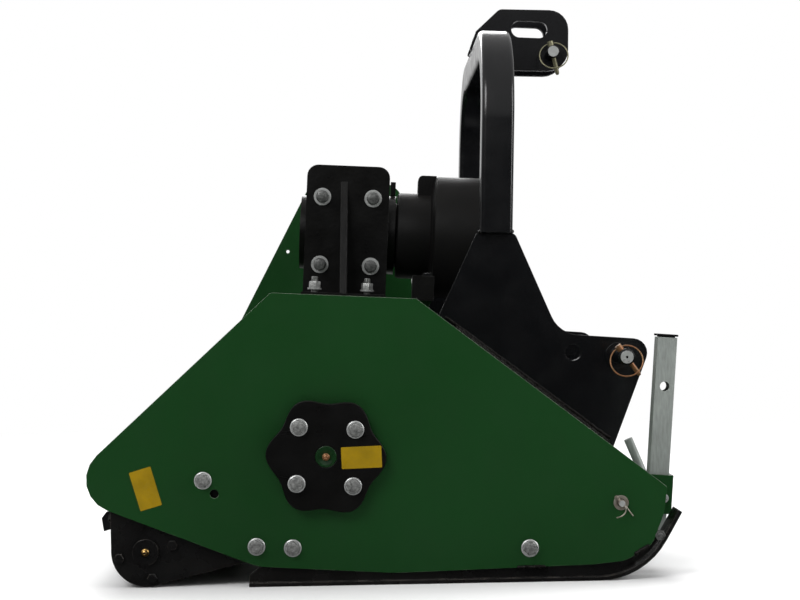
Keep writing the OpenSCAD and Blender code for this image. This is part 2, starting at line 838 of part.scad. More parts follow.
// Tube between the gearbox and the tower, with a flange at each end
module shaft_tube() at_frame() color(black) {
    start = box_y + 10;
    difference() {
        union() {
            bar(gear_axis, shaft_tube_d, start, inner_w);
            bar(gear_axis, 112, start, start + 10);
            bar(gear_axis, 112, inner_w - 10, inner_w);
        }
        bar(gear_axis, shaft_tube_d - 12, start - thin, inner_w - 20);
        bar(gear_axis, cross_bearing_d, inner_w - 20 - thin, inner_w + thin);
    }
}

// Grooved belt pulley around the Y axis at p
module pulley(p, d, hole_d) {
    grooves = [for (i = [0:belt_count - 1]) (i - (belt_count - 1) / 2) * belt_pitch];
    translate([p.x, pulley_y + pulley_w / 2, p.y]) rotate([90, 0, 0]) rotate_extrude($fn = 96) difference() {
        translate([hole_d / 2, -pulley_w / 2]) square([(d - hole_d) / 2, pulley_w]);
        for (y = grooves) translate([d / 2, y]) polygon([
            [thin, -groove_top_w / 2], [thin, groove_top_w / 2], [0, groove_top_w / 2],
            [-groove_h, groove_low_w / 2], [-groove_h, -groove_low_w / 2], [0, -groove_top_w / 2]
        ]);
        for (side = [-1, 1]) translate([hole_d / 2 + 16, side * (pulley_w / 2 - 4) - 6])
            square([d / 2 - groove_h - hole_d / 2 - 24, 12]);
    }
}

module upper_pulley() at_frame() color(iron) {
    pulley(gear_axis, upper_pulley_d, cross_shaft_d);
}

module lower_pulley() at_frame() color(iron) {
    pulley(rotor_axis, lower_pulley_d, journal_d);
}

// V-belts: two wraps and two straight runs each
belt_upper_r = upper_pulley_d / 2 + belt_lift;
belt_lower_r = lower_pulley_d / 2 + belt_lift;
belt_swing = acos((belt_lower_r - belt_upper_r) / drive_len);
belt_run = drive_len * sin(belt_swing);

belt_back_t = 1.3;

module belt_section(r) {
    taper = (groove_top_w - groove_low_w) / groove_h / 2;
    top = belt_top_w / 2 - taper * (belt_back_t - 0.2);
    low = belt_top_w / 2 - taper * belt_h;
    translate([r, 0]) polygon([[0.2 - belt_back_t, top], [-belt_h, low], [-belt_h, -low], [0.2 - belt_back_t, -top]]);
}

module belt_wrap(p, r, start, sweep) {
    notch = 1;
    translate(p) rotate(start + notch) rotate_extrude(angle = sweep - 2 * notch, $fn = 96) belt_section(r);
}

module belt_straight(p, r, at) {
    notch = 1.2;
    translate(p) rotate(at) translate([0, belt_run - notch, 0]) rotate([90, 0, 0])
        linear_extrude(belt_run - 2 * notch) belt_section(r);
}

// Outline of a belt that runs at radius a round the rotor and b round the gear axis
module drive_outline(a, b) {
    swing = acos((a - b) / drive_len);
    ends = [for (s = [-1, 1]) [cos(drive_angle + s * swing), sin(drive_angle + s * swing)]];
    translate(rotor_axis) circle(r = a);
    translate(gear_axis) circle(r = b);
    polygon([rotor_axis + a * ends[0], gear_axis + b * ends[0], gear_axis + b * ends[1], rotor_axis + a * ends[1]]);
}

// Outline of the belt cover, in short steps so that its long sides run into the round ends
module cover_outline(extra) {
    a = cover_lower_r + extra;
    b = cover_upper_r + extra;
    swing = acos((a - b) / drive_len);
    steps = 48;
    polygon(concat(
        [
            for (i = [0:steps]) let (t = drive_angle + swing + (360 - 2 * swing) * i / steps)
                rotor_axis + a * [cos(t), sin(t)]
        ],
        [
            for (i = [0:steps]) let (t = drive_angle - swing + 2 * swing * i / steps)
                gear_axis + b * [cos(t), sin(t)]
        ]
    ));
}

// Each belt: a back all the way round, and the wedge below it
module drive_belts() at_frame() color(black) {
    for (i = [0:belt_count - 1])
        translate([0, pulley_y + pulley_w / 2 + (i - (belt_count - 1) / 2) * belt_pitch, 0]) rotate([90, 0, 0]) {
            linear_extrude(belt_top_w - 0.4, center = true) difference() {
                drive_outline(belt_lower_r, belt_upper_r);
                drive_outline(belt_lower_r - belt_back_t, belt_upper_r - belt_back_t);
            }
            belt_wrap(gear_axis, belt_upper_r, drive_angle - belt_swing, 2 * belt_swing);
            belt_wrap(rotor_axis, belt_lower_r, drive_angle + belt_swing, 360 - 2 * belt_swing);
            belt_straight(rotor_axis, belt_lower_r, drive_angle - belt_swing);
            belt_straight(gear_axis, belt_upper_r, drive_angle + belt_swing);
        }
}

// Places of the cover's rim bolts
cover_bolt_spots = [
    for (a = [20, 90, 160]) gear_axis + (cover_upper_r + cover_rim / 2) * [cos(a), sin(a)],
    for (a = [200, 340]) rotor_axis + (cover_lower_r + cover_rim / 2) * [cos(a), sin(a)]
];

module belt_cover() at_frame() color(green) {
    difference() {
        union() {
            slab(half_w, cover_wall) cover_outline(cover_rim);
            slab(half_w, cover_depth) cover_outline(0);
        }
        slab(half_w - thin, cover_depth - cover_wall + thin) cover_outline(-cover_wall);
        for (p = cover_bolt_spots) bar(p, 9, half_w - thin, half_w + cover_wall + thin);
    }
}

module belt_cover_bolts() at_frame() color(zinc) {
    for (p = cover_bolt_spots) {
        bar(p, 8, half_w, half_w + cover_wall);
        translate([p.x, half_w + cover_wall + 5, p.y]) rotate([90, 0, 0]) cylinder(d = 11, h = 5, $fn = 6);
    }
}

// Guard round the splined stub: a narrow stage, a wide stage and a hand hole box on top
module pto_guard() at_frame() color(black) on_deck() {
    start = boss_x + 2.5;
    narrow = 51;
    small = guard_small_d / 2;
    large = guard_large_d / 2;
    tab = 28;
    difference() {
        union() {
            translate([start, 0, 0]) rotate([0, 90, 0]) rotate_extrude($fn = 96) polygon([
                [0, 0], [small - 5, 0], [small - 1.5, 1.5], [small, 5], [small, narrow], [small + 2.5, narrow + 1],
                [large - 9, narrow + 3.5], [large - 2.5, narrow + 6], [large, narrow + 11],
                [large, guard_len], [0, guard_len]
            ]);
            translate([start + narrow + 8 - tab, -22, 0]) intersection() {
                cube([tab, 44, large - 0.3]);
                translate([0, 44, 0]) rotate([90, 0, 0]) linear_extrude(44)
                    polygon(outline([[0, 0, 0], [0, large - 0.3, 7], [60, large - 0.3, 0], [60, 0, 0]]));
            }
        }
        translate([start + guard_wall, 0, 0]) rotate([0, 90, 0]) rotate_extrude($fn = 96) polygon([
            [0, 0], [small - guard_wall, 0], [small - guard_wall, narrow - 2], [large - guard_wall - 1, narrow + 3],
            [large - guard_wall, narrow + 9], [large - guard_wall, guard_len], [0, guard_len]
        ]);
        bar_x(spline_d + 26, start - thin, start + guard_wall + thin);
    }
    // Collar that holds the guard on the gearbox
    difference() {
        bar_x(100, boss_x, start);
        bar_x(spline_d + 26, boss_x - thin, start + thin);
    }
}

// Rotor: tube, end discs, journals and a pair of ears for each hammer
function hammer_y(k) = (k - (hammers_in_row * 4 - 1) / 2) * hammer_step;

// Frame of a row: +X runs outwards through the row's pins
module at_row(angle) {
    translate([0, 0, rotor_z]) rotate([0, -angle, 0]) children();
}

module rotor_tube() at_frame() color(steel) {
    difference() {
        union() {
            bar(rotor_axis, rotor_d, -rotor_end, rotor_end);
            for (side = [-1, 1]) bar(rotor_axis, 96, side * (rotor_end - 5) - 5, side * (rotor_end - 5) + 5);
            bar(rotor_axis, journal_d + 8, -inner_w + 1, inner_w - 1);
            bar(rotor_axis, journal_d, -half_w - 8, pulley_y + pulley_w + 3);
            for (row = [0:3], i = [0:hammers_in_row - 1])
                at_row(row_angles[row])
                    for (side = [-1, 1])
                        translate([0, hammer_y(i * 4 + row) + side * (hammer_eye_w + ear_t + 1) / 2, 0])
                            translate([0, ear_t / 2, 0]) rotate([90, 0, 0]) linear_extrude(ear_t) {
                                translate([rotor_d / 2 - 4, -ear_r])
                                    square([hammer_circle_r - rotor_d / 2 + 4, 2 * ear_r]);
                                translate([hammer_circle_r, 0]) circle(r = ear_r);
                            }
        }
        for (row = [0:3], i = [0:hammers_in_row - 1])
            at_row(row_angles[row]) bar([hammer_circle_r, 0], hammer_pin_d,
                hammer_y(i * 4 + row) - 30, hammer_y(i * 4 + row) + 30);
        bar(rotor_axis, rotor_d - 2 * rotor_wall, -rotor_end + 10, rotor_end - 10);
    }
}

module hammer_pins() at_frame() color(zinc) {
    reach = hammer_eye_w / 2 + 0.5 + ear_t;
    for (row = [0:3], i = [0:hammers_in_row - 1]) at_row(row_angles[row]) {
        y = hammer_y(i * 4 + row);
        p = [hammer_circle_r, 0];
        bar(p, hammer_pin_d, y - reach, y + reach);
        translate([p.x, y - reach, 0]) rotate([90, 0, 0]) cylinder(d = 24, h = 7, $fn = 6);
        translate([p.x, y + reach + 7, 0]) rotate([90, 0, 0]) cylinder(d = 24, h = 7, $fn = 6);
    }
}

// Cast hammer that hangs straight down from its pin
module hammer(y) {
    eye_r = hammer_pin_d / 2 + 7;
    flare = 34;
    difference() {
        translate([0, y, 0]) {
            rotate([90, 0, 0]) cylinder(r = eye_r, h = hammer_eye_w, center = true);
            rotate([90, 0, 90]) linear_extrude(hammer_t, center = true) polygon([
                [-hammer_eye_w / 2 + 3, 0], [hammer_eye_w / 2 - 3, 0], [hammer_eye_w / 2 - 3, -flare],
                [hammer_edge_w / 2, -hammer_len + 10], [hammer_edge_w / 2, -hammer_len],
                [-hammer_edge_w / 2, -hammer_len], [-hammer_edge_w / 2, -hammer_len + 10],
                [-hammer_eye_w / 2 + 3, -flare]
            ]);
        }
        translate([0, y, 0]) rotate([90, 0, 0])
            cylinder(d = hammer_pin_d + 2 * run_gap, h = hammer_eye_w + 2, center = true);
    }
}

module hammer_row(row) at_frame() color(iron) {
    angle = row_angles[row];
    for (i = [0:hammers_in_row - 1])
        translate([hammer_circle_r * cos(angle), 0, rotor_z + hammer_circle_r * sin(angle)])
            hammer(hammer_y(i * 4 + row));
}

// Six-lobed bearing flange on the right plate
module rotor_bearing_right() at_frame() color(black) {
    lobe_r = 75;
    valley_r = 65;
    star = [
        for (a = [0:5:355])
            let (r = (lobe_r + valley_r) / 2 + (lobe_r - valley_r) / 2 * cos(6 * (a + deck_tilt)))
            rotor_axis + r * [cos(a), sin(a)]
    ];
    difference() {
        slab(-half_w - bearing_t, bearing_t) polygon(star);
        bar(rotor_axis, journal_d + 2 * run_gap, -half_w - 9, -half_w + thin);
        bar(rotor_axis, 27, -half_w - bearing_t - thin, -half_w - 9 + thin);
        for (p = bearing_bolts) bar(p, m10 + 2 * bolt_play, -half_w - bearing_t - thin, -half_w + thin);
    }
}

// Flange bearing on the left plate, inside the belt cover
module rotor_bearing_left() at_frame() color(iron) {
    difference() {
        union() {
            slab(half_w, bearing_t) translate(rotor_axis) rotate(-deck_tilt)
                polygon(outline([[-48, -48, 14], [-48, 48, 14], [48, 48, 14], [48, -48, 14]]));
            bar(rotor_axis, 74, half_w + bearing_t, half_w + left_bearing_t);
        }
        bar(rotor_axis, journal_d + 2 * run_gap, half_w - thin, half_w + left_bearing_t + thin);
        for (p = bearing_bolts) bar(p, m10 + 2 * bolt_play, half_w - thin, half_w + bearing_t + thin);
    }
}

// Grease nipple on the plane y, pointing to the right side
module grease_nipple(p, y) {
    translate([p.x, y, p.y]) rotate([90, 0, 0]) {
        cylinder(d = 9, h = 4, $fn = 6);
        translate([0, 0, 4]) cylinder(d1 = 7, d2 = 5, h = 2.5);
        translate([0, 0, 6.5]) cylinder(d = 6, h = 2.5);
        translate([0, 0, 9]) cylinder(d1 = 6, d2 = 4, h = 1);
    }
}

// Green disc that closes the right bearing, with its grease nipple
module bearing_cap() at_frame() color(green) {
    bar(rotor_axis, 27, -half_w - bearing_t, -half_w - 9);
    grease_nipple(rotor_axis, -half_w - bearing_t);
}

// All M10 flange bolts of the side plates
module flange_bolts() at_frame() color(zinc) {
    for (p = bearing_bolts) flange_bolt(p, -half_w - bearing_t, bearing_t + plate_t);
    for (p = bearing_bolts) mirrored() flange_bolt(p, -half_w - bearing_t, bearing_t + plate_t);
    both_sides() {
        for (p = [roller_pivot, roller_clamp]) {
            flange_bolt(p, -half_w, plate_t + bracket_gap + roller_bracket_t + 10);
            bar(p, 17, -inner_w, -bracket_y - side_gap);
        }
        for (p = [roller_pivot, roller_clamp])
            translate([p.x, -bracket_y + roller_bracket_t + side_gap + 8, p.y]) rotate([90, 0, 0])
                cylinder(d = 18, h = 8, $fn = 6);
        for (p = [skid_bolt_rear, skid_bolt_front]) {
            flange_bolt(p, -half_w, plate_t + skid_web_t + 10);
            translate([p.x, -inner_w + skid_web_t + 8, p.y]) rotate([90, 0, 0]) cylinder(d = 18, h = 8, $fn = 6);
        }
    }
}

// Roller bracket that swings about the pivot bolt and is clamped by a bolt in a curved slot
clamp_vector = roller_clamp - roller_pivot;
clamp_r = norm(clamp_vector);
clamp_angle = atan2(clamp_vector.y, clamp_vector.x);

module arc_slot(r, angle, width) {
    margin = 3;
    from = angle - roller_down - margin;
    sweep = roller_down + roller_up + 2 * margin;
    translate(roller_pivot) {
        rotate(from) intersection() {
            difference() {
                circle(r = r + width / 2);
                circle(r = r - width / 2);
            }
            polygon([[0, 0], 2 * r * [1, 0], 2 * r * [cos(sweep / 2), sin(sweep / 2)], 2 * r * [cos(sweep), sin(sweep)]]);
        }
        for (a = [from, from + sweep]) translate(r * [cos(a), sin(a)]) circle(d = width);
    }
}

module roller_bracket() {
    low = atan2(roller_pivot.y - roller_axis.y, roller_pivot.x - roller_axis.x);
    reach = norm(roller_pivot - roller_axis);
    lean = low - 90 + asin((bracket_end_r - pivot_boss_r) / reach);
    away = [cos(lean), sin(lean)];
    difference() {
        union() {
            bar(roller_axis, 2 * bracket_end_r, -bracket_y, -bracket_y + roller_bracket_t);
            bar(roller_pivot, 2 * pivot_boss_r, -bracket_y, -bracket_y + roller_bracket_t);
            slab(-bracket_y, roller_bracket_t) polygon(concat(
                [roller_axis + bracket_end_r * away, [scraper_x, roller_axis.y], [scraper_x, 97], [-250, 118]],
                [for (a = [150:-9:105]) roller_pivot + (clamp_r + 18) * [cos(a), sin(a)]],
                [roller_pivot + [pivot_boss_r, 4], roller_pivot + pivot_boss_r * away]
            ));
        }
        slab(-bracket_y - thin, roller_bracket_t + 2 * thin) arc_slot(clamp_r, clamp_angle, m10 + 2 * bolt_play);
        bar(roller_pivot, m10 + 2 * run_gap, -bracket_y - thin, -bracket_y + roller_bracket_t + thin);
        bar(roller_axis, hub_d, -bracket_y - thin, -bracket_y + roller_bracket_t + thin);
        for (a = [0:90:270]) bar(roller_axis + ear_bolt_r * [cos(a + ear_bolt_turn), sin(a + ear_bolt_turn)],
            8, -bracket_y - thin, -bracket_y + roller_bracket_t + thin);
    }
}

module roller_bracket_right() at_frame() color(black) {
    roller_bracket();
}

module roller_bracket_left() at_frame() color(black) {
    mirrored() roller_bracket();
}

// Flange bearings behind the brackets, each with a hub cap and a grease nipple outside
module roller_bearing() {
    inner = -bracket_y + roller_bracket_t;
    difference() {
        union() {
            bar(roller_axis, 2 * bracket_end_r - 4, inner, inner + 9);
            bar(roller_axis, hub_d, -bracket_y - hub_out, inner);
        }
        bar(roller_axis, stub_d + 2 * run_gap, -bracket_y, inner + 9 + thin);
        for (a = [0:90:270]) bar(roller_axis + ear_bolt_r * [cos(a + ear_bolt_turn), sin(a + ear_bolt_turn)],
            8, inner - thin, inner + 9 + thin);
    }
    grease_nipple(roller_axis, -bracket_y - hub_out);
}

module roller_bearings() at_frame() color(black) {
    both_sides() roller_bearing();
}

module roller_bearing_bolts() at_frame() color(black) {
    both_sides() for (a = [0:90:270]) {
        p = roller_axis + ear_bolt_r * [cos(a + ear_bolt_turn), sin(a + ear_bolt_turn)];
        bar(p, 8, -bracket_y, -bracket_y + roller_bracket_t + 9);
        translate([p.x, -bracket_y, p.y]) rotate([90, 0, 0]) cylinder(d = 13, h = 4.5, $fn = 6);
    }
}

// Scraper: an angle bar across the machine, just clear of the roller
module scraper_bar() at_frame() color(black) {
    slab(-bracket_y, 2 * bracket_y) polygon([
        [scraper_x, 97], [scraper_x - 5, 96], [scraper_x - 11, 88], [scraper_x - 8.5, 71.5],
        [scraper_x, 74], [scraper_x, 82], [scraper_x - 3, 86]
    ]);
}

module rear_roller() at_frame() color(black) {
    difference() {
        union() {
            bar(roller_axis, roller_d, -roller_half, roller_half);
            bar(roller_axis, stub_d, -bracket_y + 1, bracket_y - 1);
        }
        ring(roller_axis, roller_d - 2 * roller_wall, stub_d, -roller_half + 8, roller_half - 8);
    }
}

// Skid: a flat sole that turns up in front, and a web bolted to the inside of the side plate
function sole_path(lift) = concat(
    [[skid_tail, lift]],
    [
        for (i = [0:8]) let (a = skid_bend_angle * i / 8, r = skid_bend_r - lift)
            [skid_bend_x + r * sin(a), skid_bend_r - r * cos(a)]
    ],
    [
        let (a = skid_bend_angle, r = skid_bend_r - lift)
            [skid_bend_x + r * sin(a), skid_bend_r - r * cos(a)] + skid_tip_len * [cos(a), sin(a)]
    ]
);
sole_low = sole_path(0);
sole_high = sole_path(sole_t);

module skid() {
    web_top = 60;
    slab(-half_w, skid_w) polygon(concat(sole_low, [for (i = [len(sole_high) - 1:-1:0]) sole_high[i]]));
    difference() {
        slab(-inner_w, skid_web_t) polygon(concat(
            [[skid_tail, sole_t - 1]],
            [[skid_tail, 14], [-87, 24], [-63, 26], [-61, web_top + 4], [372, web_top]],
            [for (i = [5:-1:1]) sole_high[i] - [0, 1]]
        ));
        for (p = [skid_bolt_rear, skid_bolt_front])
            bar(p, m10 + 2 * bolt_play, -inner_w - thin, -inner_w + skid_web_t + thin);
    }
}

module skid_right() at_frame() color(black) {
    skid();
}

module skid_left() at_frame() color(black) {
    mirrored() skid();
}

// Rod that the front flaps hang on, with a washer and a split pin at each end
rod_out = 12;

module flap_rod() at_frame() color(zinc) {
    difference() {
        bar(flap_axis, flap_rod_d, -half_w - rod_out, half_w + rod_out);
        both_sides() translate([flap_axis.x, -half_w - rod_out + 5, flap_axis.y]) rotate([0, 35, 0])
            cylinder(d = 3, h = 20, center = true);
    }
}

module flap_rod_clips() at_frame() color(zinc) {
    both_sides() {
        ring(flap_axis, 18, flap_rod_d, -half_w - 2, -half_w);
        translate([flap_axis.x, -half_w - rod_out + 5, flap_axis.y]) rotate([0, 35, 0]) {
            translate([0, 0, -14]) cylinder(d = 3, h = 23);
            translate([0, 0, 10]) rotate([90, 0, 0]) cylinder(d = 8, h = 3.4, center = true);
            translate([0, 0, -12]) rotate([0, 140, 0]) cylinder(d = 2, h = 10);
        }
    }
}

// One of the plates that close the front
module front_flap(i) at_frame() color(black) {
    pitch = 2 * flap_room / flap_count;
    width = pitch - flap_gap;
    y = -flap_room + pitch * i + flap_gap / 2;
    difference() {
        union() {
            bar(flap_axis, flap_rod_d + 2 * flap_t, y, y + width);
            translate([flap_axis.x - flap_t / 2, y, flap_axis.y - flap_len]) cube([flap_t, width, flap_len]);
        }
        bar(flap_axis, flap_rod_d + 2 * run_gap, y - thin, y + width + thin);
    }
}

// Frame of the parking stand: origin at the leg's foot, z up the leg
module on_leg() {
    translate([leg_foot.x, leg_y, leg_foot.y]) rotate([0, leg_lean, 0]) children();
}

module square_tube(w, wall, z0, z1) {
    difference() {
        translate([-w / 2, -w / 2, z0]) cube([w, w, z1 - z0]);
        translate([wall - w / 2, wall - w / 2, z0 - thin]) cube([w - 2 * wall, w - 2 * wall, z1 - z0 + 2 * thin]);
    }
}

// Sleeve of the stand, welded to the hood's front lip through a pad
module stand_sleeve() at_frame() color(green) {
    lip = turn_back(hood_path[4] - leg_foot);
    on_leg() difference() {
        union() {
            square_tube(sleeve_w, sleeve_wall, sleeve_low, sleeve_low + sleeve_len);
            translate([lip.x, -30, sleeve_low + 6]) cube([-sleeve_w / 2 - lip.x, 60, sleeve_len - 14]);
            translate([0, sleeve_w / 2 + 10, clamp_up]) rotate([90, 0, 0]) cylinder(d = 22, h = 10, $fn = 6);
            translate([7, -sleeve_w / 2, clamp_up]) rotate([90, 0, 0]) cylinder(d = 11, h = 4);
        }
        translate([0, sleeve_w, clamp_up]) rotate([90, 0, 0]) cylinder(d = 12 + 2 * run_gap, h = sleeve_w - leg_w / 2);
    }
}

// A side-view vector seen in the leaning frame of the leg
function turn_back(p) = turn(p, -leg_lean);

module stand_leg() at_frame() color(zinc) on_leg() {
    difference() {
        square_tube(leg_w, 2.5, 0, leg_len);
        for (z = [68, 188]) translate([0, 0, z]) rotate([90, 0, 0]) cylinder(d = 12.2, h = leg_w + 2, center = true);
    }
}

// Plastic plugs in the two ends of the leg
module stand_leg_caps() at_frame() color(black) on_leg() {
    lid = leg_w + 2;
    plug = leg_w - 5;
    translate([-lid / 2, -lid / 2, leg_len + leg_cap_t - 2.6]) cube([lid, lid, 2.6]);
    translate([-plug / 2, -plug / 2, leg_len - 10]) cube([plug, plug, 10 + leg_cap_t - 2]);
    translate([-leg_w / 2, -leg_w / 2, -3]) cube([leg_w, leg_w, 3]);
    translate([-plug / 2, -plug / 2, 0]) cube([plug, plug, 10]);
}

// Clamp screw of the stand with its bent handle
module stand_clamp() at_frame() color(zinc) on_leg() {
    handle_d = 11.4;
    handle_len = 78;
    handle_back = 27;
    start = leg_w / 2 + side_gap;
    finish = sleeve_w / 2 + 18;
    translate([0, finish, clamp_up]) rotate([90, 0, 0]) cylinder(d = 12, h = finish - start);
    translate([0, finish, clamp_up]) {
        sphere(d = 12);
        rotate([0, -handle_back, 0]) cylinder(d = handle_d, h = handle_len);
    }
}

side_plate_right();
side_plate_left();
hood_shell();
hitch_base();
hitch_plate_right();
hitch_plate_left();
hitch_arch();
top_link_plates();
lower_link_pins();
top_link_pin();
linch_pins();
linch_ring_right();
linch_ring_left();
linch_ring_top();
gearbox_housing();
gearbox_end_cap();
gearbox_bracket();
gearbox_bolts();
gearbox_plugs();
gearbox_bearings();
input_shaft();
crown_gear();
cross_shaft();
bevel_pinion();
shaft_tube();
upper_pulley();
lower_pulley();
drive_belts();
belt_cover();
belt_cover_bolts();
pto_guard();
rotor_tube();
rotor_bearing_right();
rotor_bearing_left();
bearing_cap();
flange_bolts();
hammer_pins();
hammer_row(0);  // hammer_row_1
hammer_row(1);  // hammer_row_2
hammer_row(2);  // hammer_row_3
hammer_row(3);  // hammer_row_4
roller_bracket_right();
roller_bracket_left();
roller_bearings();
roller_bearing_bolts();
scraper_bar();
rear_roller();
skid_right();
skid_left();
flap_rod();
flap_rod_clips();
front_flap(0);  // front_flap_1
front_flap(1);  // front_flap_2
front_flap(2);  // front_flap_3
front_flap(3);  // front_flap_4
front_flap(4);  // front_flap_5
stand_sleeve();
stand_leg();
stand_leg_caps();
stand_clamp();
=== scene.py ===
import math
import random

import bmesh
import bpy
from mathutils import Matrix, Vector


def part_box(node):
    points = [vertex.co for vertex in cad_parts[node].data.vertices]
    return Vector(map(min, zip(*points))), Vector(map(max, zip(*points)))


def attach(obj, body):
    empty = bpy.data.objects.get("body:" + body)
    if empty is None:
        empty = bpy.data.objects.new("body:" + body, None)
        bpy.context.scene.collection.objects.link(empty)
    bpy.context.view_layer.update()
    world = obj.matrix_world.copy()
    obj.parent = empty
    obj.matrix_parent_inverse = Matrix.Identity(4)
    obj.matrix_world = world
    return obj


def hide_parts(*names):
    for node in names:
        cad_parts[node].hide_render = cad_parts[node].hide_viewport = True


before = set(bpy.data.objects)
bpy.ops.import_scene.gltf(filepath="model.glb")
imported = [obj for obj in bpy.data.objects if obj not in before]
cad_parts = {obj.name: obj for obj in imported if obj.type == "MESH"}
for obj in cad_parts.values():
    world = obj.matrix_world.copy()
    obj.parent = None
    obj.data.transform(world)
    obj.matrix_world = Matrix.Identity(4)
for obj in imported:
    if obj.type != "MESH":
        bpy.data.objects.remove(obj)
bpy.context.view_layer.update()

print("frame loaded,", len(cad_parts), "nodes")

# places: millimetres from the rotor axis (x), the deck's middle (y) and the floor (z)

lowest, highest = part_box("lower_pulley")
rotorX = (lowest.x + highest.x) / 2
lowest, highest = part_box("flap_rod")
middleY = (lowest.y + highest.y) / 2
deckTilt = math.radians(3.4)
gearAxis = (24.4, 0.0, 461.6)  # in the same millimetres
plateFace = 545.0  # outer face of the side plates


def place(x, y, z):
    return Vector((rotorX + x / 1000, middleY + y / 1000, z / 1000))


def mm(value):
    return value / 1000


def atPlace(x, y, z, turn=None):
    spot = Matrix.Translation(place(x, y, z))
    return spot @ turn if turn else spot


def onDeck(x, y, z, turn=None):  # a spot in the gearbox's own tilted frame
    spot = Matrix.Translation(place(*gearAxis)) @ Matrix.Rotation(deckTilt, 4, "Y")
    spot = spot @ Matrix.Translation(Vector((mm(x), mm(y), mm(z))))
    return spot @ turn if turn else spot


faceRight = Matrix.Rotation(math.radians(90), 4, "X")  # local +Z points out of the right side
faceLeft = Matrix.Rotation(math.radians(-90), 4, "X")

# materials


def newNode(tree, kind, **values):
    node = tree.nodes.new(kind)
    for key, value in values.items():
        if key in node.inputs:
            node.inputs[key].default_value = value
        else:
            setattr(node, key, value)
    return node


def noiseOf(tree, coords, scale, detail=3.0, stretch=(1, 1, 1)):
    mapping = newNode(tree, "ShaderNodeMapping")
    mapping.inputs["Scale"].default_value = stretch
    noise = newNode(tree, "ShaderNodeTexNoise")
    noise.inputs["Scale"].default_value = scale
    noise.inputs["Detail"].default_value = detail
    tree.links.new(coords.outputs["Object"], mapping.inputs["Vector"])
    tree.links.new(mapping.outputs["Vector"], noise.inputs["Vector"])
    return noise.outputs["Fac"]


def rangeOf(tree, value, low, high, outLow, outHigh):
    node = newNode(tree, "ShaderNodeMapRange")
    for name, number in zip(("From Min", "From Max", "To Min", "To Max"), (low, high, outLow, outHigh)):
        node.inputs[name].default_value = number
    tree.links.new(value, node.inputs["Value"])
    return node.outputs["Result"]


def mathOf(tree, operation, a, b):
    node = newNode(tree, "ShaderNodeMath", operation=operation)
    for socket, value in zip(node.inputs, (a, b)):
        if isinstance(value, (int, float)):
            socket.default_value = value
        else:
            tree.links.new(value, socket)
    return node.outputs[0]


def mixColour(tree, factor, a, b):
    node = newNode(tree, "ShaderNodeMix", data_type="RGBA")
    for socket, value in ((node.inputs[0], factor), (node.inputs[6], a), (node.inputs[7], b)):
        if isinstance(value, (int, float)):
            socket.default_value = value
        elif isinstance(value, tuple):
            socket.default_value = (*value, 1.0)
        else:
            tree.links.new(value, socket)
    return node.outputs[2]


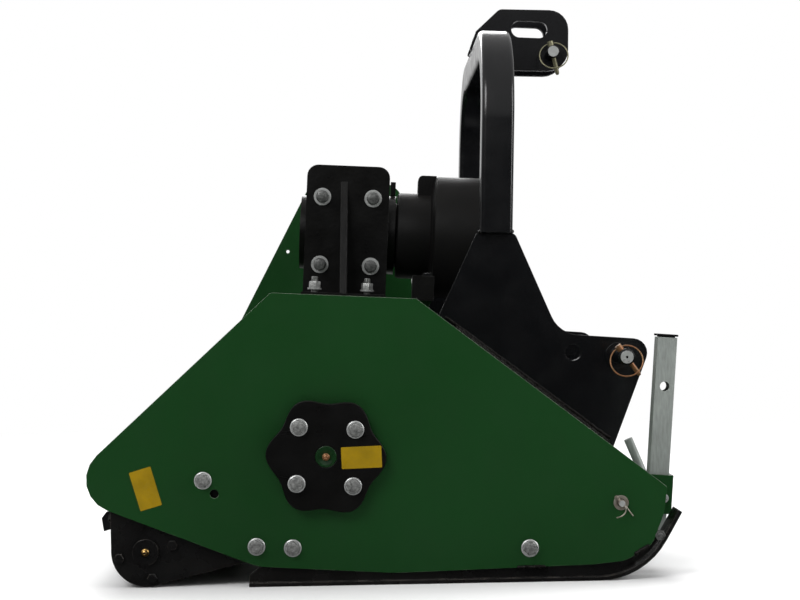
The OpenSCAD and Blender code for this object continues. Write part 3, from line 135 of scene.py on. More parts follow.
# a finish with tone drift, dust on what faces up, worn edges (on zinc heads and welds painted highlights and
# glints), painted highlights on cut edges that face up, fine bump and uneven gloss
def makeFinish(name, look):
    material = bpy.data.materials.new(name)
    material.use_nodes = True
    tree = material.node_tree
    shader = tree.nodes["Principled BSDF"]
    coords = newNode(tree, "ShaderNodeTexCoord")
    geometry = newNode(tree, "ShaderNodeNewGeometry")
    broad = noiseOf(tree, coords, look.get("broadScale", 6.0), 4.0)
    fine = noiseOf(tree, coords, look.get("fineScale", 260.0), 2.0, look.get("stretch", (1, 1, 1)))
    colour = mixColour(tree, rangeOf(tree, broad, 0.35, 0.65, 0.0, 1.0), look["colour"], look["drift"])
    # grain; on zinc heads its dark flecks are painted shade in the hollows
    if look.get("grainAndShade", 0):
        grainAndShade = rangeOf(tree, fine, 0.35, 0.7, 0.0, look["grainAndShade"])
        colour = mixColour(tree, grainAndShade, colour, look["grainAndShadeColour"])
    if look.get("dust", 0):  # thin dust where the surface faces up
        parts = newNode(tree, "ShaderNodeSeparateXYZ")
        tree.links.new(geometry.outputs["Normal"], parts.inputs[0])
        upward = rangeOf(tree, parts.outputs["Z"], 0.2, 1.0, 0.0, look["dust"])
        patchy = rangeOf(tree, noiseOf(tree, coords, 22.0, 5.0), 0.35, 0.75, 0.2, 1.0)
        dusty = mathOf(tree, "MULTIPLY", upward, patchy)
        colour = mixColour(tree, dusty, colour, look.get("dustColour", (0.2, 0.19, 0.17)))
    if look.get("upperFrom", 0):  # another plating above a height
        spots = newNode(tree, "ShaderNodeSeparateXYZ")
        tree.links.new(coords.outputs["Object"], spots.inputs[0])
        higher = rangeOf(tree, spots.outputs["Z"], look["upperFrom"], look["upperFrom"] + 0.01, 0.0, 1.0)
        colour = mixColour(tree, higher, colour, look["upperColour"])
    rounded = newNode(tree, "ShaderNodeBevel", samples=4)
    rounded.inputs["Radius"].default_value = look.get("edge", 0.0012)
    if look.get("wearAndGlint", 0):  # paint rubbed thin along the edges; on zinc heads and welds this mask paints edge highlights and glints
        dot = newNode(tree, "ShaderNodeVectorMath", operation="DOT_PRODUCT")
        tree.links.new(rounded.outputs[0], dot.inputs[0])
        tree.links.new(geometry.outputs["Normal"], dot.inputs[1])
        edges = rangeOf(tree, dot.outputs["Value"], 0.985, 0.82, 0.0, 1.0)
        rubbedAndGlinting = rangeOf(tree, noiseOf(tree, coords, 70.0, 6.0), 0.42, 0.68, 0.0, look["wearAndGlint"])
        colour = mixColour(tree, mathOf(tree, "MULTIPLY", edges, rubbedAndGlinting), colour, look["wearAndGlintColour"])
    if look.get("rim", 0):  # painted highlight: cut edges that face up are painted lighter, as if they caught the light
        dot = newNode(tree, "ShaderNodeVectorMath", operation="DOT_PRODUCT")
        tree.links.new(rounded.outputs[0], dot.inputs[0])
        tree.links.new(geometry.outputs["Normal"], dot.inputs[1])
        turned = newNode(tree, "ShaderNodeSeparateXYZ")
        tree.links.new(rounded.outputs[0], turned.inputs[0])
        rimHighlights = mathOf(tree, "MULTIPLY", rangeOf(tree, dot.outputs["Value"], 0.99, 0.9, 0.0, look["rim"]),
                      rangeOf(tree, turned.outputs["Z"], 0.05, 0.35, 0.0, 1.0))
        colour = mixColour(tree, rimHighlights, colour, look["rimHighlightColour"])
    tree.links.new(colour, shader.inputs["Base Color"])
    uneven = noiseOf(tree, coords, look.get("glossScale", 30.0), 5.0, look.get("stretch", (1, 1, 1)))
    spread = look.get("glossSpread", 0.08)
    gloss = rangeOf(tree, uneven, 0.3, 0.7, look["rough"] - spread, look["rough"] + spread)
    tree.links.new(gloss, shader.inputs["Roughness"])
    bump = newNode(tree, "ShaderNodeBump")
    bump.inputs["Strength"].default_value = look.get("bump", 0.2)
    bump.inputs["Distance"].default_value = look.get("bumpDepth", 0.0003)
    tree.links.new(fine, bump.inputs["Height"])
    tree.links.new(rounded.outputs[0], bump.inputs["Normal"])
    tree.links.new(bump.outputs[0], shader.inputs["Normal"])
    shader.inputs["Metallic"].default_value = look.get("metal", 0.0)
    shader.inputs["Specular IOR Level"].default_value = look.get("specular", 0.5)
    return material


finishes = {
    # its rim keys paint a highlight on cut edges that face up
    "greenPaint": dict(
        colour=(0.0062, 0.0360, 0.0082), drift=(0.0074, 0.0408, 0.0100), rough=0.19, glossSpread=0.035,
        bump=0.07, fineScale=520.0, dust=0.07, dustColour=(0.05, 0.085, 0.05), wearAndGlint=0.8,
        wearAndGlintColour=(0.2, 0.25, 0.18), edge=0.0009, specular=0.36, broadScale=3.5, rim=0.8,
        rimHighlightColour=(0.3, 0.36, 0.28),
    ),
    "blackPaint": dict(
        colour=(0.0026, 0.0028, 0.0034), drift=(0.004, 0.0042, 0.0048), rough=0.21, glossSpread=0.05, bump=0.14,
        fineScale=420.0, dust=0.1, dustColour=(0.05, 0.047, 0.042), wearAndGlint=0.55, wearAndGlintColour=(0.12, 0.12, 0.115),
        specular=0.45,
    ),
    "worksPaint": dict(  # the low parts that meet the ground
        colour=(0.003, 0.003, 0.0032), drift=(0.006, 0.0054, 0.0048), rough=0.27, glossSpread=0.08, bump=0.3,
        fineScale=240.0, dust=0.16, dustColour=(0.06, 0.05, 0.04), wearAndGlint=0.75, wearAndGlintColour=(0.16, 0.14, 0.12),
        specular=0.45,
    ),
    "castBlack": dict(
        colour=(0.0022, 0.0022, 0.0022), drift=(0.0036, 0.0034, 0.0032), rough=0.34, glossSpread=0.08, bump=0.5,
        bumpDepth=0.0005, fineScale=170.0, dust=0.14, dustColour=(0.06, 0.057, 0.05), wearAndGlint=0.35,
        wearAndGlintColour=(0.1, 0.1, 0.1), specular=0.16,
    ),
    "castGrey": dict(
        colour=(0.1, 0.1, 0.1), drift=(0.16, 0.155, 0.15), rough=0.55, glossSpread=0.1, bump=0.6,
        bumpDepth=0.0006, fineScale=150.0, dust=0.2, wearAndGlint=0.4, wearAndGlintColour=(0.3, 0.3, 0.29), metal=0.4,
    ),
    "zinc": dict(
        colour=(0.46, 0.47, 0.46), drift=(0.33, 0.34, 0.335), rough=0.34, glossSpread=0.1, bump=0.2, metal=0.45,
        fineScale=300.0, glossScale=120.0, grainAndShade=0.35, grainAndShadeColour=(0.3, 0.3, 0.3), edge=0.0006,
    ),
    "zincDull": dict(  # bolt heads, greyer than their washers, edges painted lighter as highlights
        colour=(0.17, 0.175, 0.17), drift=(0.07, 0.072, 0.07), rough=0.36, glossSpread=0.1, bump=0.4, metal=0.5,
        fineScale=420.0, glossScale=160.0, grainAndShade=0.7, grainAndShadeColour=(0.03, 0.03, 0.03), broadScale=160.0,
        edge=0.0005, wearAndGlint=0.8, wearAndGlintColour=(0.5, 0.5, 0.48),
    ),
    "zincHead": dict(  # rolled heads and nuts: dark grain painted as shade in the hollows, edges painted lighter as highlights
        colour=(0.34, 0.345, 0.335), drift=(0.15, 0.155, 0.15), rough=0.34, glossSpread=0.1, bump=0.5,
        metal=0.5, fineScale=480.0, glossScale=200.0, grainAndShade=0.65, grainAndShadeColour=(0.07, 0.07, 0.068),
        broadScale=190.0, edge=0.0005, wearAndGlint=1.0, wearAndGlintColour=(0.72, 0.72, 0.7),
    ),
    "galvanised": dict(
        colour=(0.35, 0.385, 0.36), drift=(0.26, 0.285, 0.268), rough=0.42, glossSpread=0.08, bump=0.12,
        metal=0.35, fineScale=60.0, stretch=(6, 6, 1), grainAndShade=0.4, grainAndShadeColour=(0.16, 0.16, 0.155),
        glossScale=26.0, edge=0.001,
    ),
    "yellowZinc": dict(
        colour=(0.3, 0.125, 0.055), drift=(0.2, 0.115, 0.055), rough=0.36, glossSpread=0.08, bump=0.15,
        metal=0.6, broadScale=60.0, fineScale=300.0, edge=0.0004, upperFrom=0.6, upperColour=(0.2, 0.19, 0.12),
    ),
    "brass": dict(
        colour=(0.5, 0.31, 0.1), drift=(0.36, 0.22, 0.08), rough=0.3, bump=0.15, metal=1.0, broadScale=90.0,
        edge=0.0003,
    ),
    "bareSteel": dict(
        colour=(0.32, 0.32, 0.33), drift=(0.24, 0.235, 0.23), rough=0.34, bump=0.2, metal=1.0,
        stretch=(1, 5, 1), fineScale=120.0, grainAndShade=0.3, grainAndShadeColour=(0.16, 0.14, 0.12), edge=0.0006,
    ),
    "brownSteel": dict(  # split pins and washers that have begun to dull
        colour=(0.26, 0.22, 0.18), drift=(0.36, 0.335, 0.29), rough=0.4, bump=0.3, metal=0.7, broadScale=120.0,
        fineScale=300.0, edge=0.0003,
    ),
    "hammerIron": dict(
        colour=(0.06, 0.058, 0.056), drift=(0.09, 0.075, 0.06), rough=0.48, bump=0.5, bumpDepth=0.0005,
        metal=0.7, fineScale=140.0, wearAndGlint=0.8, wearAndGlintColour=(0.35, 0.34, 0.33),
    ),
    "rubberBlack": dict(
        colour=(0.012, 0.012, 0.012), drift=(0.018, 0.018, 0.017), rough=0.75, bump=0.3, fineScale=300.0,
        dust=0.2,
    ),
    # the edge mask paints small light glints on the weld beads
    "weldBlack": dict(
        colour=(0.0018, 0.0017, 0.0017), drift=(0.004, 0.0035, 0.003), rough=0.3, bump=0.5, fineScale=300.0,
        specular=0.1, grainAndShade=1.0, grainAndShadeColour=(0.012, 0.011, 0.01), wearAndGlint=0.25, wearAndGlintColour=(0.2, 0.19, 0.17),
        edge=0.0008,
    ),
    "guardPlastic": dict(
        colour=(0.0044, 0.0044, 0.0044), drift=(0.006, 0.0058, 0.0056), rough=0.5, glossSpread=0.05, bump=0.3,
        bumpDepth=0.0002, fineScale=520.0, dust=0.12, dustColour=(0.045, 0.042, 0.038), edge=0.0015,
        specular=0.07,
    ),
    "labelYellow": dict(
        colour=(0.262, 0.165, 0.0035), drift=(0.21, 0.135, 0.0035), rough=0.3, glossSpread=0.05, bump=0.06,
        specular=0.08, broadScale=40.0, grainAndShade=0.15, grainAndShadeColour=(0.16, 0.11, 0.02), edge=0.0002,
    ),
}
finishes["greenCapShaded"] = dict(  # a darker copy of the green paint, painted shade on the small cap, with no painted rim highlight
    finishes["greenPaint"], colour=(0.0042, 0.0215, 0.0058), drift=(0.005, 0.025, 0.0068), rim=0, wearAndGlint=0.2,
)
made = {name: makeFinish(name, look) for name, look in finishes.items()}
print("finishes made:", len(made))


# merges a mesh's loose corners and shades it smooth except over sharp edges
def smoothingGroup():
    group = bpy.data.node_groups.new("smoothByAngle", "GeometryNodeTree")
    group.interface.new_socket("Geometry", in_out="INPUT", socket_type="NodeSocketGeometry")
    group.interface.new_socket("Geometry", in_out="OUTPUT", socket_type="NodeSocketGeometry")
    start = group.nodes.new("NodeGroupInput")
    end = group.nodes.new("NodeGroupOutput")
    merge = group.nodes.new("GeometryNodeMergeByDistance")
    merge.inputs["Distance"].default_value = 0.000004
    smooth = group.nodes.new("GeometryNodeSetShadeSmooth")
    sharp = group.nodes.new("GeometryNodeSetShadeSmooth")
    sharp.domain = "EDGE"
    sharp.inputs["Shade Smooth"].default_value = False
    angle = group.nodes.new("GeometryNodeInputMeshEdgeAngle")
    wide = group.nodes.new("FunctionNodeCompare")
    wide.operation = "GREATER_THAN"
    wide.inputs["B"].default_value = math.radians(34)
    links = group.links
    links.new(start.outputs[0], merge.inputs["Geometry"])
    links.new(merge.outputs["Geometry"], smooth.inputs["Geometry"])
    links.new(smooth.outputs["Geometry"], sharp.inputs["Geometry"])
    links.new(angle.outputs["Unsigned Angle"], wide.inputs["A"])
    links.new(wide.outputs["Result"], sharp.inputs["Selection"])
    links.new(sharp.outputs["Geometry"], end.inputs[0])
    return group


smoothing = smoothingGroup()


def smoothShade(thing):
    modifier = thing.modifiers.new("shade", "NODES")
    modifier.node_group = smoothing


nodeFinish = {
    "greenPaint": "side_plate_right side_plate_left hood_shell belt_cover bearing_cap stand_sleeve",
    "blackPaint": "hitch_base hitch_plate_right hitch_plate_left hitch_arch top_link_plates"
    " shaft_tube scraper_bar front_flap_1 front_flap_2 front_flap_3 front_flap_4 front_flap_5"
    " lower_link_pins top_link_pin",
    "worksPaint": "roller_bracket_right roller_bracket_left rear_roller skid_right skid_left"
    " roller_bearing_bolts roller_bearings",
    "castBlack": "gearbox_housing gearbox_end_cap rotor_bearing_right gearbox_bracket",
    "castGrey": "upper_pulley lower_pulley rotor_bearing_left",
    "zinc": "flange_bolts gearbox_bolts belt_cover_bolts flap_rod_clips hammer_pins",
    "galvanised": "stand_leg stand_clamp",
    "brownSteel": "flap_rod",
    "yellowZinc": "linch_pins linch_ring_right linch_ring_left linch_ring_top",
    "bareSteel": "input_shaft crown_gear cross_shaft bevel_pinion gearbox_bearings rotor_tube",
    "hammerIron": "hammer_row_1 hammer_row_2 hammer_row_3 hammer_row_4",
    "rubberBlack": "drive_belts",
    "guardPlastic": "pto_guard stand_leg_caps gearbox_plugs",
}
# cut or pressed edges that catch the light: millimetres
edgeWidth = {
    "side_plate_right": 0.7, "side_plate_left": 0.7, "hood_shell": 0.8, "stand_sleeve": 0.9, "hitch_base": 0.6,
    "hitch_plate_right": 0.8, "hitch_plate_left": 0.8, "top_link_plates": 1.1,
    "roller_bracket_right": 0.7, "roller_bracket_left": 0.7, "skid_right": 1.0, "skid_left": 1.0,
    "rotor_bearing_right": 1.4, "gearbox_housing": 1.6, "gearbox_end_cap": 1.2,
    "scraper_bar": 0.6, "lower_link_pins": 0.5, "stand_leg_caps": 0.5,
}


def softenEdges(thing, width):
    weld = thing.modifiers.new("weld", "WELD")
    weld.merge_threshold = 0.000004
    bevel = thing.modifiers.new("edge", "BEVEL")
    bevel.width = width / 1000
    bevel.segments = 2
    bevel.limit_method = "ANGLE"
    bevel.angle_limit = math.radians(40)
    bevel.use_clamp_overlap = True


for finish, names in nodeFinish.items():
    for name in names.split():
        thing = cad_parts[name]
        for entry in thing.material_slots:
            entry.material = made[finish]
        if name in edgeWidth:
            softenEdges(thing, edgeWidth[name])
        if name != "gearbox_bracket":  # its flat faces stay flat
            smoothShade(thing)
        if name in edgeWidth:
            steady = thing.modifiers.new("flat", "WEIGHTED_NORMAL")
            steady.keep_sharp = True
            steady.weight = 100
for name in ("linch_ring_right", "linch_ring_left", "linch_ring_top"):  # thinner wire on the same centre line
    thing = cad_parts[name]
    weld = thing.modifiers.new("weld", "WELD")
    weld.merge_threshold = 0.000004
    thin = thing.modifiers.new("thin", "DISPLACE")
    thin.mid_level = 0.0
    thin.strength = -0.0004
    thing.modifiers.move(thing.modifiers.find("shade"), 2)
print("CAD nodes finished")

# making pieces


def newPiece(name, mesh, finish, body, replaced=()):
    bmesh.ops.remove_doubles(mesh, verts=mesh.verts, dist=0.000002)
    bmesh.ops.recalc_face_normals(mesh, faces=mesh.faces)
    data = bpy.data.meshes.new(name)
    mesh.to_mesh(data)
    mesh.free()
    data.materials.append(made[finish])
    thing = bpy.data.objects.new(name, data)
    bpy.context.scene.collection.objects.link(thing)
    smoothShade(thing)
    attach(thing, body)
    if replaced:
        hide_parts(*replaced)
    return thing


# turns a profile of (radius, height) in millimetres about local Z
def addTurned(mesh, profile, spot, steps):
    verts = [mesh.verts.new((mm(r), 0, mm(h))) for r, h in profile]
    edges = [mesh.edges.new(pair) for pair in zip(verts, verts[1:])]
    bmesh.ops.spin(
        mesh, geom=verts + edges, cent=(0, 0, 0), axis=(0, 0, 1), angle=math.tau, steps=steps,
        use_merge=True, use_duplicate=False,
    )
    reached = set(verts)
    stack = list(verts)
    while stack:
        for edge in stack.pop().link_edges:
            for vert in edge.verts:
                if vert not in reached:
                    reached.add(vert)
                    stack.append(vert)
    bmesh.ops.transform(mesh, matrix=spot, verts=list(reached))


# a hexagonal head or nut standing on local Z = 0, with its top corners chamfered
def addHex(mesh, flats, height, chamfer, spot, turn):
    blank = bmesh.ops.create_cone(
        mesh, cap_ends=True, segments=6, radius1=mm(flats / math.sqrt(3)), radius2=mm(flats / math.sqrt(3)),
        depth=mm(height), matrix=Matrix.Translation((0, 0, mm(height / 2))) @ Matrix.Rotation(turn, 4, "Z"),
    )
    top = [v for v in blank["verts"] if v.co.z > mm(height / 2)]
    rim = {e for v in top for e in v.link_edges if all(w in top for w in e.verts)}
    cut = bmesh.ops.bevel(
        mesh, geom=list(rim), offset=mm(chamfer), offset_type="OFFSET", segments=2, profile=0.5, affect="EDGES",
        material=-1,
    )
    verts = {v for f in cut["faces"] for v in f.verts} | {v for v in blank["verts"] if v.is_valid}
    bmesh.ops.transform(mesh, matrix=spot, verts=list(verts))


# carries a closed outline of (x, y) millimetres along a row of spots
def addSweep(mesh, outline, spots):
    verts = [mesh.verts.new(spots[0] @ Vector((mm(x), mm(y), 0))) for x, y in outline]
    edges = [mesh.edges.new((verts[i - 1], verts[i])) for i in range(len(verts))]
    bmesh.ops.contextual_create(mesh, geom=edges)
    for last, spot in zip(spots, spots[1:]):
        pushed = bmesh.ops.extrude_edge_only(mesh, edges=edges)["geom"]
        verts = [g for g in pushed if isinstance(g, bmesh.types.BMVert)]
        edges = list({e for v in verts for e in v.link_edges if e.other_vert(v) in verts})
        bmesh.ops.transform(mesh, matrix=spot @ last.inverted(), verts=verts)
    bmesh.ops.contextual_create(mesh, geom=edges)


# bent wire of a radius through points given in millimetres
def addWire(mesh, points, radius, spot, sides=10):
    angles = [math.tau * i / sides for i in range(sides)]
    outline = [(radius * math.cos(angle), radius * math.sin(angle)) for angle in angles]
    points = [Vector([mm(value) for value in point]) for point in points]
    spots = []
    for i, point in enumerate(points):
        before, after = points[max(i - 1, 0)], points[min(i + 1, len(points) - 1)]
        turn = (after - before).to_track_quat("Z", "Y").to_matrix().to_4x4()
        spots.append(spot @ Matrix.Translation(point) @ turn)
    addSweep(mesh, outline, spots)


# a row of overlapping flattened beads between two places in millimetres
def addWeld(mesh, start, end, radius, pitch=3.2):
    start, end = place(*start), place(*end)
    run = end - start
    turn = run.to_track_quat("Z", "Y").to_matrix().to_4x4()
    steps = max(int(run.length / mm(pitch)), 1)
    carrier = bpy.data.meshes.new("bead")  # each bead is made alone and then added, which is quicker
    for i in range(steps + 1):
        size = radius * random.uniform(0.88, 1.08)
        jitter = Vector([mm(random.uniform(-0.35, 0.35)) for axis in range(3)])
        spot = Matrix.Translation(start + run * (i / steps) + jitter) @ turn
        shape = Matrix.Diagonal((mm(size), mm(size), mm(pitch * 1.05), 1))
        bead = bmesh.new()
        bmesh.ops.create_uvsphere(bead, u_segments=14, v_segments=8, radius=1.0, matrix=spot @ shape)
        bead.to_mesh(carrier)
        bead.free()
        mesh.from_mesh(carrier)
    bpy.data.meshes.remove(carrier)


# flange bolts of the side plates

boltLook = {
    "flats": 15.0, "head": 8.0, "flangeRadius": 11.0, "flangeDepth": 2.5, "chamfer": 1.1, "shank": 5.0,
    "spacerTop": -6.0, "nutFlats": 15.6, "nutHeight": 8.0, "bearingSeat": 14,
}
bearingBolts = [
    (
        35 * (a * math.cos(deckTilt) + b * math.sin(deckTilt)),
        162 + 35 * (-a * math.sin(deckTilt) + b * math.cos(deckTilt)),
    )
    for a in (-1, 1) for b in (-1, 1)
]
rollerBolts = [(-89, 50.4), (-154.3, 134)]  # pivot, clamp
skidBolts = [(-43.8, 47.8), (251.6, 42.4)]


def addFlangeBolt(heads, mesh, x, z, side, seat, grip, nutAt, spacer):
    turn = faceRight if side < 0 else faceLeft
    look = boltLook
    spot = atPlace(x, side * seat, z, turn)
    twist = random.uniform(0, 1)
    flange = [
        (0, 0.0), (look["flangeRadius"] - 0.4, 0.0), (look["flangeRadius"], 0.4), (look["flangeRadius"], 1.2),
        (look["flangeRadius"] - 0.7, 1.8), (9.4, 2.2), (9.1, 1.5), (8.5, 1.5), (8.3, 2.5), (0, 2.5),
    ]
    addTurned(mesh, flange, spot, 40)
    addHex(heads, look["flats"], look["head"] - look["flangeDepth"], look["chamfer"],
           spot @ Matrix.Translation((0, 0, mm(look["flangeDepth"]))), twist)
    shank = look["shank"]
    addTurned(mesh, [(0, 0.0), (shank, 0.0), (shank, -grip + 0.8), (4.2, -grip), (0, -grip)], spot, 20)
    if spacer:
        top, foot = look["spacerTop"], look["spacerTop"] - spacer
        addTurned(mesh, [(5.2, top), (8.5, top), (8.5, foot), (5.2, foot)], spot, 24)
    if nutAt:
        seat = spot @ Matrix.Translation((0, 0, -mm(nutAt))) @ Matrix.Rotation(math.pi, 4, "X")
        addHex(mesh, look["nutFlats"], look["nutHeight"], 1.0, seat, twist)


random.seed(4)
heads, rings = bmesh.new(), bmesh.new()
for side in (-1, 1):
    for x, z in bearingBolts:
        addFlangeBolt(heads, rings, x, z, side, plateFace + boltLook["bearingSeat"], 20, 0, 0)
    for x, z in rollerBolts:
        addFlangeBolt(heads, rings, x, z, side, plateFace, 29, 19.3, 4.7)
    for x, z in skidBolts:
        addFlangeBolt(heads, rings, x, z, side, plateFace, 22, 12.0, 0)
newPiece("flangeBolts", rings, "zinc", "frame", ("flange_bolts",))
newPiece("flangeBoltHeads", heads, "zincHead", "frame")

# gearbox bolts with washers, and the foot's studs with nuts

gearboxLook = {
    "x": 38.5, "z": 51.5, "face": 72.0, "washer": 13.2, "flats": 16.0, "head": 7.5, "studX": (-43.5, 34.7),
    "studY": 118.0, "footTop": -90.3, "footWasher": 10.2,
}
heads, washers, studs = bmesh.new(), bmesh.new(), bmesh.new()
for x in (-1, 1):
    for z in (-1, 1):
        spot = onDeck(x * gearboxLook["x"], -gearboxLook["face"], z * gearboxLook["z"], faceRight)
        rim = gearboxLook["washer"]
        ring = [(6.1, 0.0), (rim - 0.3, 0.0), (rim, 0.3), (rim, 2.2), (rim - 0.3, 2.5), (6.1, 2.5)]
        addTurned(washers, ring, spot, 48)
        addTurned(heads, [(0, 2.5), (9.3, 2.5), (9.6, 2.8), (9.6, 4.4), (9.3, 4.7), (0, 4.7)], spot, 32)
        seat = spot @ Matrix.Translation((0, 0, mm(4.7)))
        addHex(heads, gearboxLook["flats"], gearboxLook["head"], 1.3, seat, random.uniform(0, 1))
        addTurned(heads, [(0, 0.0), (6.0, 0.0), (6.0, -26.0), (0, -26.0)], spot, 20)
for x in gearboxLook["studX"]:
    spot = onDeck(x, -gearboxLook["studY"], gearboxLook["footTop"])
    rim = gearboxLook["footWasher"]
    addTurned(washers, [(5.2, 0.0), (rim, 0.0), (rim, 2.5), (5.2, 2.5)], spot, 40)
    addHex(studs, 15.4, 10.0, 1.1, spot @ Matrix.Translation((0, 0, mm(2.5))), random.uniform(0.15, 0.4))
    thread = [(0, -10.0), (4.9, -10.0)]
    for turn in range(9):
        height = 9.0 + turn * 1.15
        thread += [(4.95, height), (4.35, height + 0.58)]
    thread += [(4.0, 19.5), (0, 19.5)]
    addTurned(studs, thread, spot, 20)
newPiece("gearboxBolts", heads, "zincDull", "frame", ("gearbox_bolts",))
newPiece("gearboxWashers", washers, "zinc", "frame")
newPiece("gearboxStuds", studs, "zincHead", "frame")
print("bolts made")

# arch: one rounded square tube carried up the leg, round both bends and down again

archLook = {
    "foot": (234.5, 446.0), "top": (244.2, 723.0), "legY": 295.0, "bend": 120.0, "wide": 45.0, "deep": 42.0,
    "corner": 6.5, "steps": 22,
}
runX = archLook["top"][0] - archLook["foot"][0]
runZ = archLook["top"][1] - archLook["foot"][1]
archTurn = Matrix.Translation(place(archLook["foot"][0], 0, archLook["foot"][1])) @ Matrix.Rotation(
    math.atan2(runX, runZ), 4, "Y")
rise = math.hypot(runX, runZ)


def roundedBox(wide, deep, corner, steps=5):
    points = []
    for sx, sy, first in ((1, 1, 0), (-1, 1, 90), (-1, -1, 180), (1, -1, 270)):
        for i in range(steps + 1):
            angle = math.radians(first + 90 * i / steps)
            points.append((sx * (wide / 2 - corner) + corner * math.cos(angle),
                           sy * (deep / 2 - corner) + corner * math.sin(angle)))
    return points


def archSpots():
    legY, bend, steps = archLook["legY"], archLook["bend"], archLook["steps"]
    path = [(-legY, 0.0, 0.0)]
    for i in range(steps + 1):
        angle = math.pi / 2 * i / steps
        path.append((-legY + bend - bend * math.cos(angle), rise - bend + bend * math.sin(angle), angle))
    for i in range(steps + 1):
        angle = math.pi / 2 * i / steps
        y, z = legY - bend + bend * math.sin(angle), rise - bend + bend * math.cos(angle)
        path.append((y, z, math.pi / 2 + angle))
    path.append((legY, 0.0, math.pi))
    return [
        archTurn @ Matrix.Translation((0, mm(y), mm(z))) @ Matrix.Rotation(-angle, 4, "X")
        for y, z, angle in path
    ]


mesh = bmesh.new()
addSweep(mesh, roundedBox(archLook["wide"], archLook["deep"], archLook["corner"]), archSpots())
newPiece("archTube", mesh, "blackPaint", "frame", ("hitch_arch",))

# weld beads: plates to the base, arch to the plates, skids to their webs

weldLook = {
    "plateY": 300.6, "rootRadius": 4.6, "toeRadius": 2.3, "toePitch": 2.6, "archX": (212.8, 256.6),
    "archY": (306, 284), "archZ": 447.4, "archRadius": 2.8, "skidY": (545.6, 545.0), "skidRadius": (2.2, 2.8),
}
mesh = bmesh.new()
for side in (-1, 1):
    look = weldLook
    y = side * look["plateY"]
    addWeld(mesh, (176, y, 314.6), (384, y, 153.0), look["rootRadius"])
    addWeld(mesh, (164, y, 329.6), (386, y, 159.2), look["toeRadius"], look["toePitch"])
    outer, inner = (side * y for y in look["archY"])
    for x in look["archX"]:
        addWeld(mesh, (x, outer, look["archZ"]), (x, inner, look["archZ"]), look["archRadius"])
    flatY, bentY = (side * y for y in look["skidY"])
    addWeld(mesh, (238, flatY, 19.2), (268, flatY, 19.2), look["skidRadius"][0])
    addWeld(mesh, (384, bentY, 33.4), (398, bentY, 41.6), look["skidRadius"][1])
newPiece("weldBeads", mesh, "weldBlack", "frame")

# front web of each skid with its nut, and the ends of the cross plate under the guard

webLook = {
    "bendX": 338.0, "bendZ": 97.0, "bendRadius": 88.5, "from": 18, "to": 61, "top": 60.5, "rear": 364.0,
    "face": 539.0, "thick": 6.0,
}
skidNutLook = {"at": (414.5, -540.0, 55.0), "flats": 12.0, "height": 5.5, "stud": 3.2}
crossPlateLook = {
    "front": 127.3, "inner": 285.0, "foot": -101.2, "wide": 37, "high": 34, "longRight": 30, "longLeft": 10,
}


def addSlab(mesh, outline, near, far):  # an (x, z) outline between two y planes
    spots = [atPlace(0, y, 0, faceRight) for y in (near, far)]
    addSweep(mesh, outline, spots)


mesh = bmesh.new()
low = [
    (webLook["bendX"] + webLook["bendRadius"] * math.sin(math.radians(a)),
     webLook["bendZ"] - webLook["bendRadius"] * math.cos(math.radians(a)))
    for a in range(webLook["from"], webLook["to"], 3)
]
outline = low + [(low[-1][0] + 1, webLook["top"]), (webLook["rear"], webLook["top"])]
for side in (-1, 1):
    addSlab(mesh, outline, side * webLook["face"], side * (webLook["face"] - webLook["thick"]))
newPiece("skidWebs", mesh, "worksPaint", "frame")
mesh = bmesh.new()
spot = atPlace(*skidNutLook["at"], faceRight)
stud, top = skidNutLook["stud"], skidNutLook["height"]
addHex(mesh, skidNutLook["flats"], top, 0.9, spot, 0.5)
addTurned(mesh, [(0, top), (stud, top), (stud, top + 1.5), (stud - 0.6, top + 2.1), (0, top + 2.1)], spot, 20)
newPiece("skidNut", mesh, "zincDull", "frame")
mesh = bmesh.new()
for side, long in ((-1, crossPlateLook["longRight"]), (1, crossPlateLook["longLeft"])):
    wide, high = crossPlateLook["wide"], crossPlateLook["high"]
    shape = Matrix.Translation((mm(-long / 2), side * mm(wide / 2), mm(high / 2)))
    shape = shape @ Matrix.Diagonal((mm(long), mm(wide), mm(high), 1))
    spot = onDeck(crossPlateLook["front"], side * crossPlateLook["inner"], crossPlateLook["foot"])
    bmesh.ops.create_cube(mesh, size=1.0, matrix=spot @ shape)
newPiece("crossPlateEnds", mesh, "castBlack", "frame")

# bright ends of the pins and the flap rod, the stand's clamp pad, and the rod's washers with split pins

pinLook = {
    "lowX": 400.5, "lowZ": 272.9, "lowEnd": 388.0, "topX": 344.3, "topZ": 730.1, "rodX": 366.0, "rodZ": 96.8,
}
lowest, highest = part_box("top_link_pin")
topPinEnd = (middleY - lowest.y) * 1000
mesh = bmesh.new()
for side, turn in ((-1, faceRight), (1, faceLeft)):
    spot = atPlace(pinLook["lowX"], side * pinLook["lowEnd"], pinLook["lowZ"], turn)
    addTurned(mesh, [(0, -1.6), (1.1, -1.4), (1.7, 0.05), (8.5, 0.08), (8.75, -0.1), (8.0, -0.6)], spot, 48)
spot = atPlace(pinLook["topX"], -topPinEnd, pinLook["topZ"], faceRight)
addTurned(mesh, [(0, 0.04), (1.4, 0.05), (8.0, 0.08), (8.2, -0.1), (7.6, -0.6)], spot, 48)
lowest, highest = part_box("flap_rod")
for side, turn, end in ((-1, faceRight, lowest.y), (1, faceLeft, highest.y)):
    spot = atPlace(pinLook["rodX"], (end - middleY) * 1000, pinLook["rodZ"], turn)
    addTurned(mesh, [(0, 0.06), (3.6, 0.06), (3.8, -0.1), (3.4, -0.4)], spot, 32)
newPiece("pinEnds", mesh, "zinc", "frame")
mesh = bmesh.new()
spot = atPlace(429.2, -489.0, 94.8, faceRight)  # the clamp screw's axis, on the sleeve's outer face
addTurned(mesh, [(0, 0.9), (5.2, 0.9), (5.8, 0.3), (5.8, -3.0), (0, -3.0)], spot, 36)
newPiece("clampPad", mesh, "zinc", "frame")
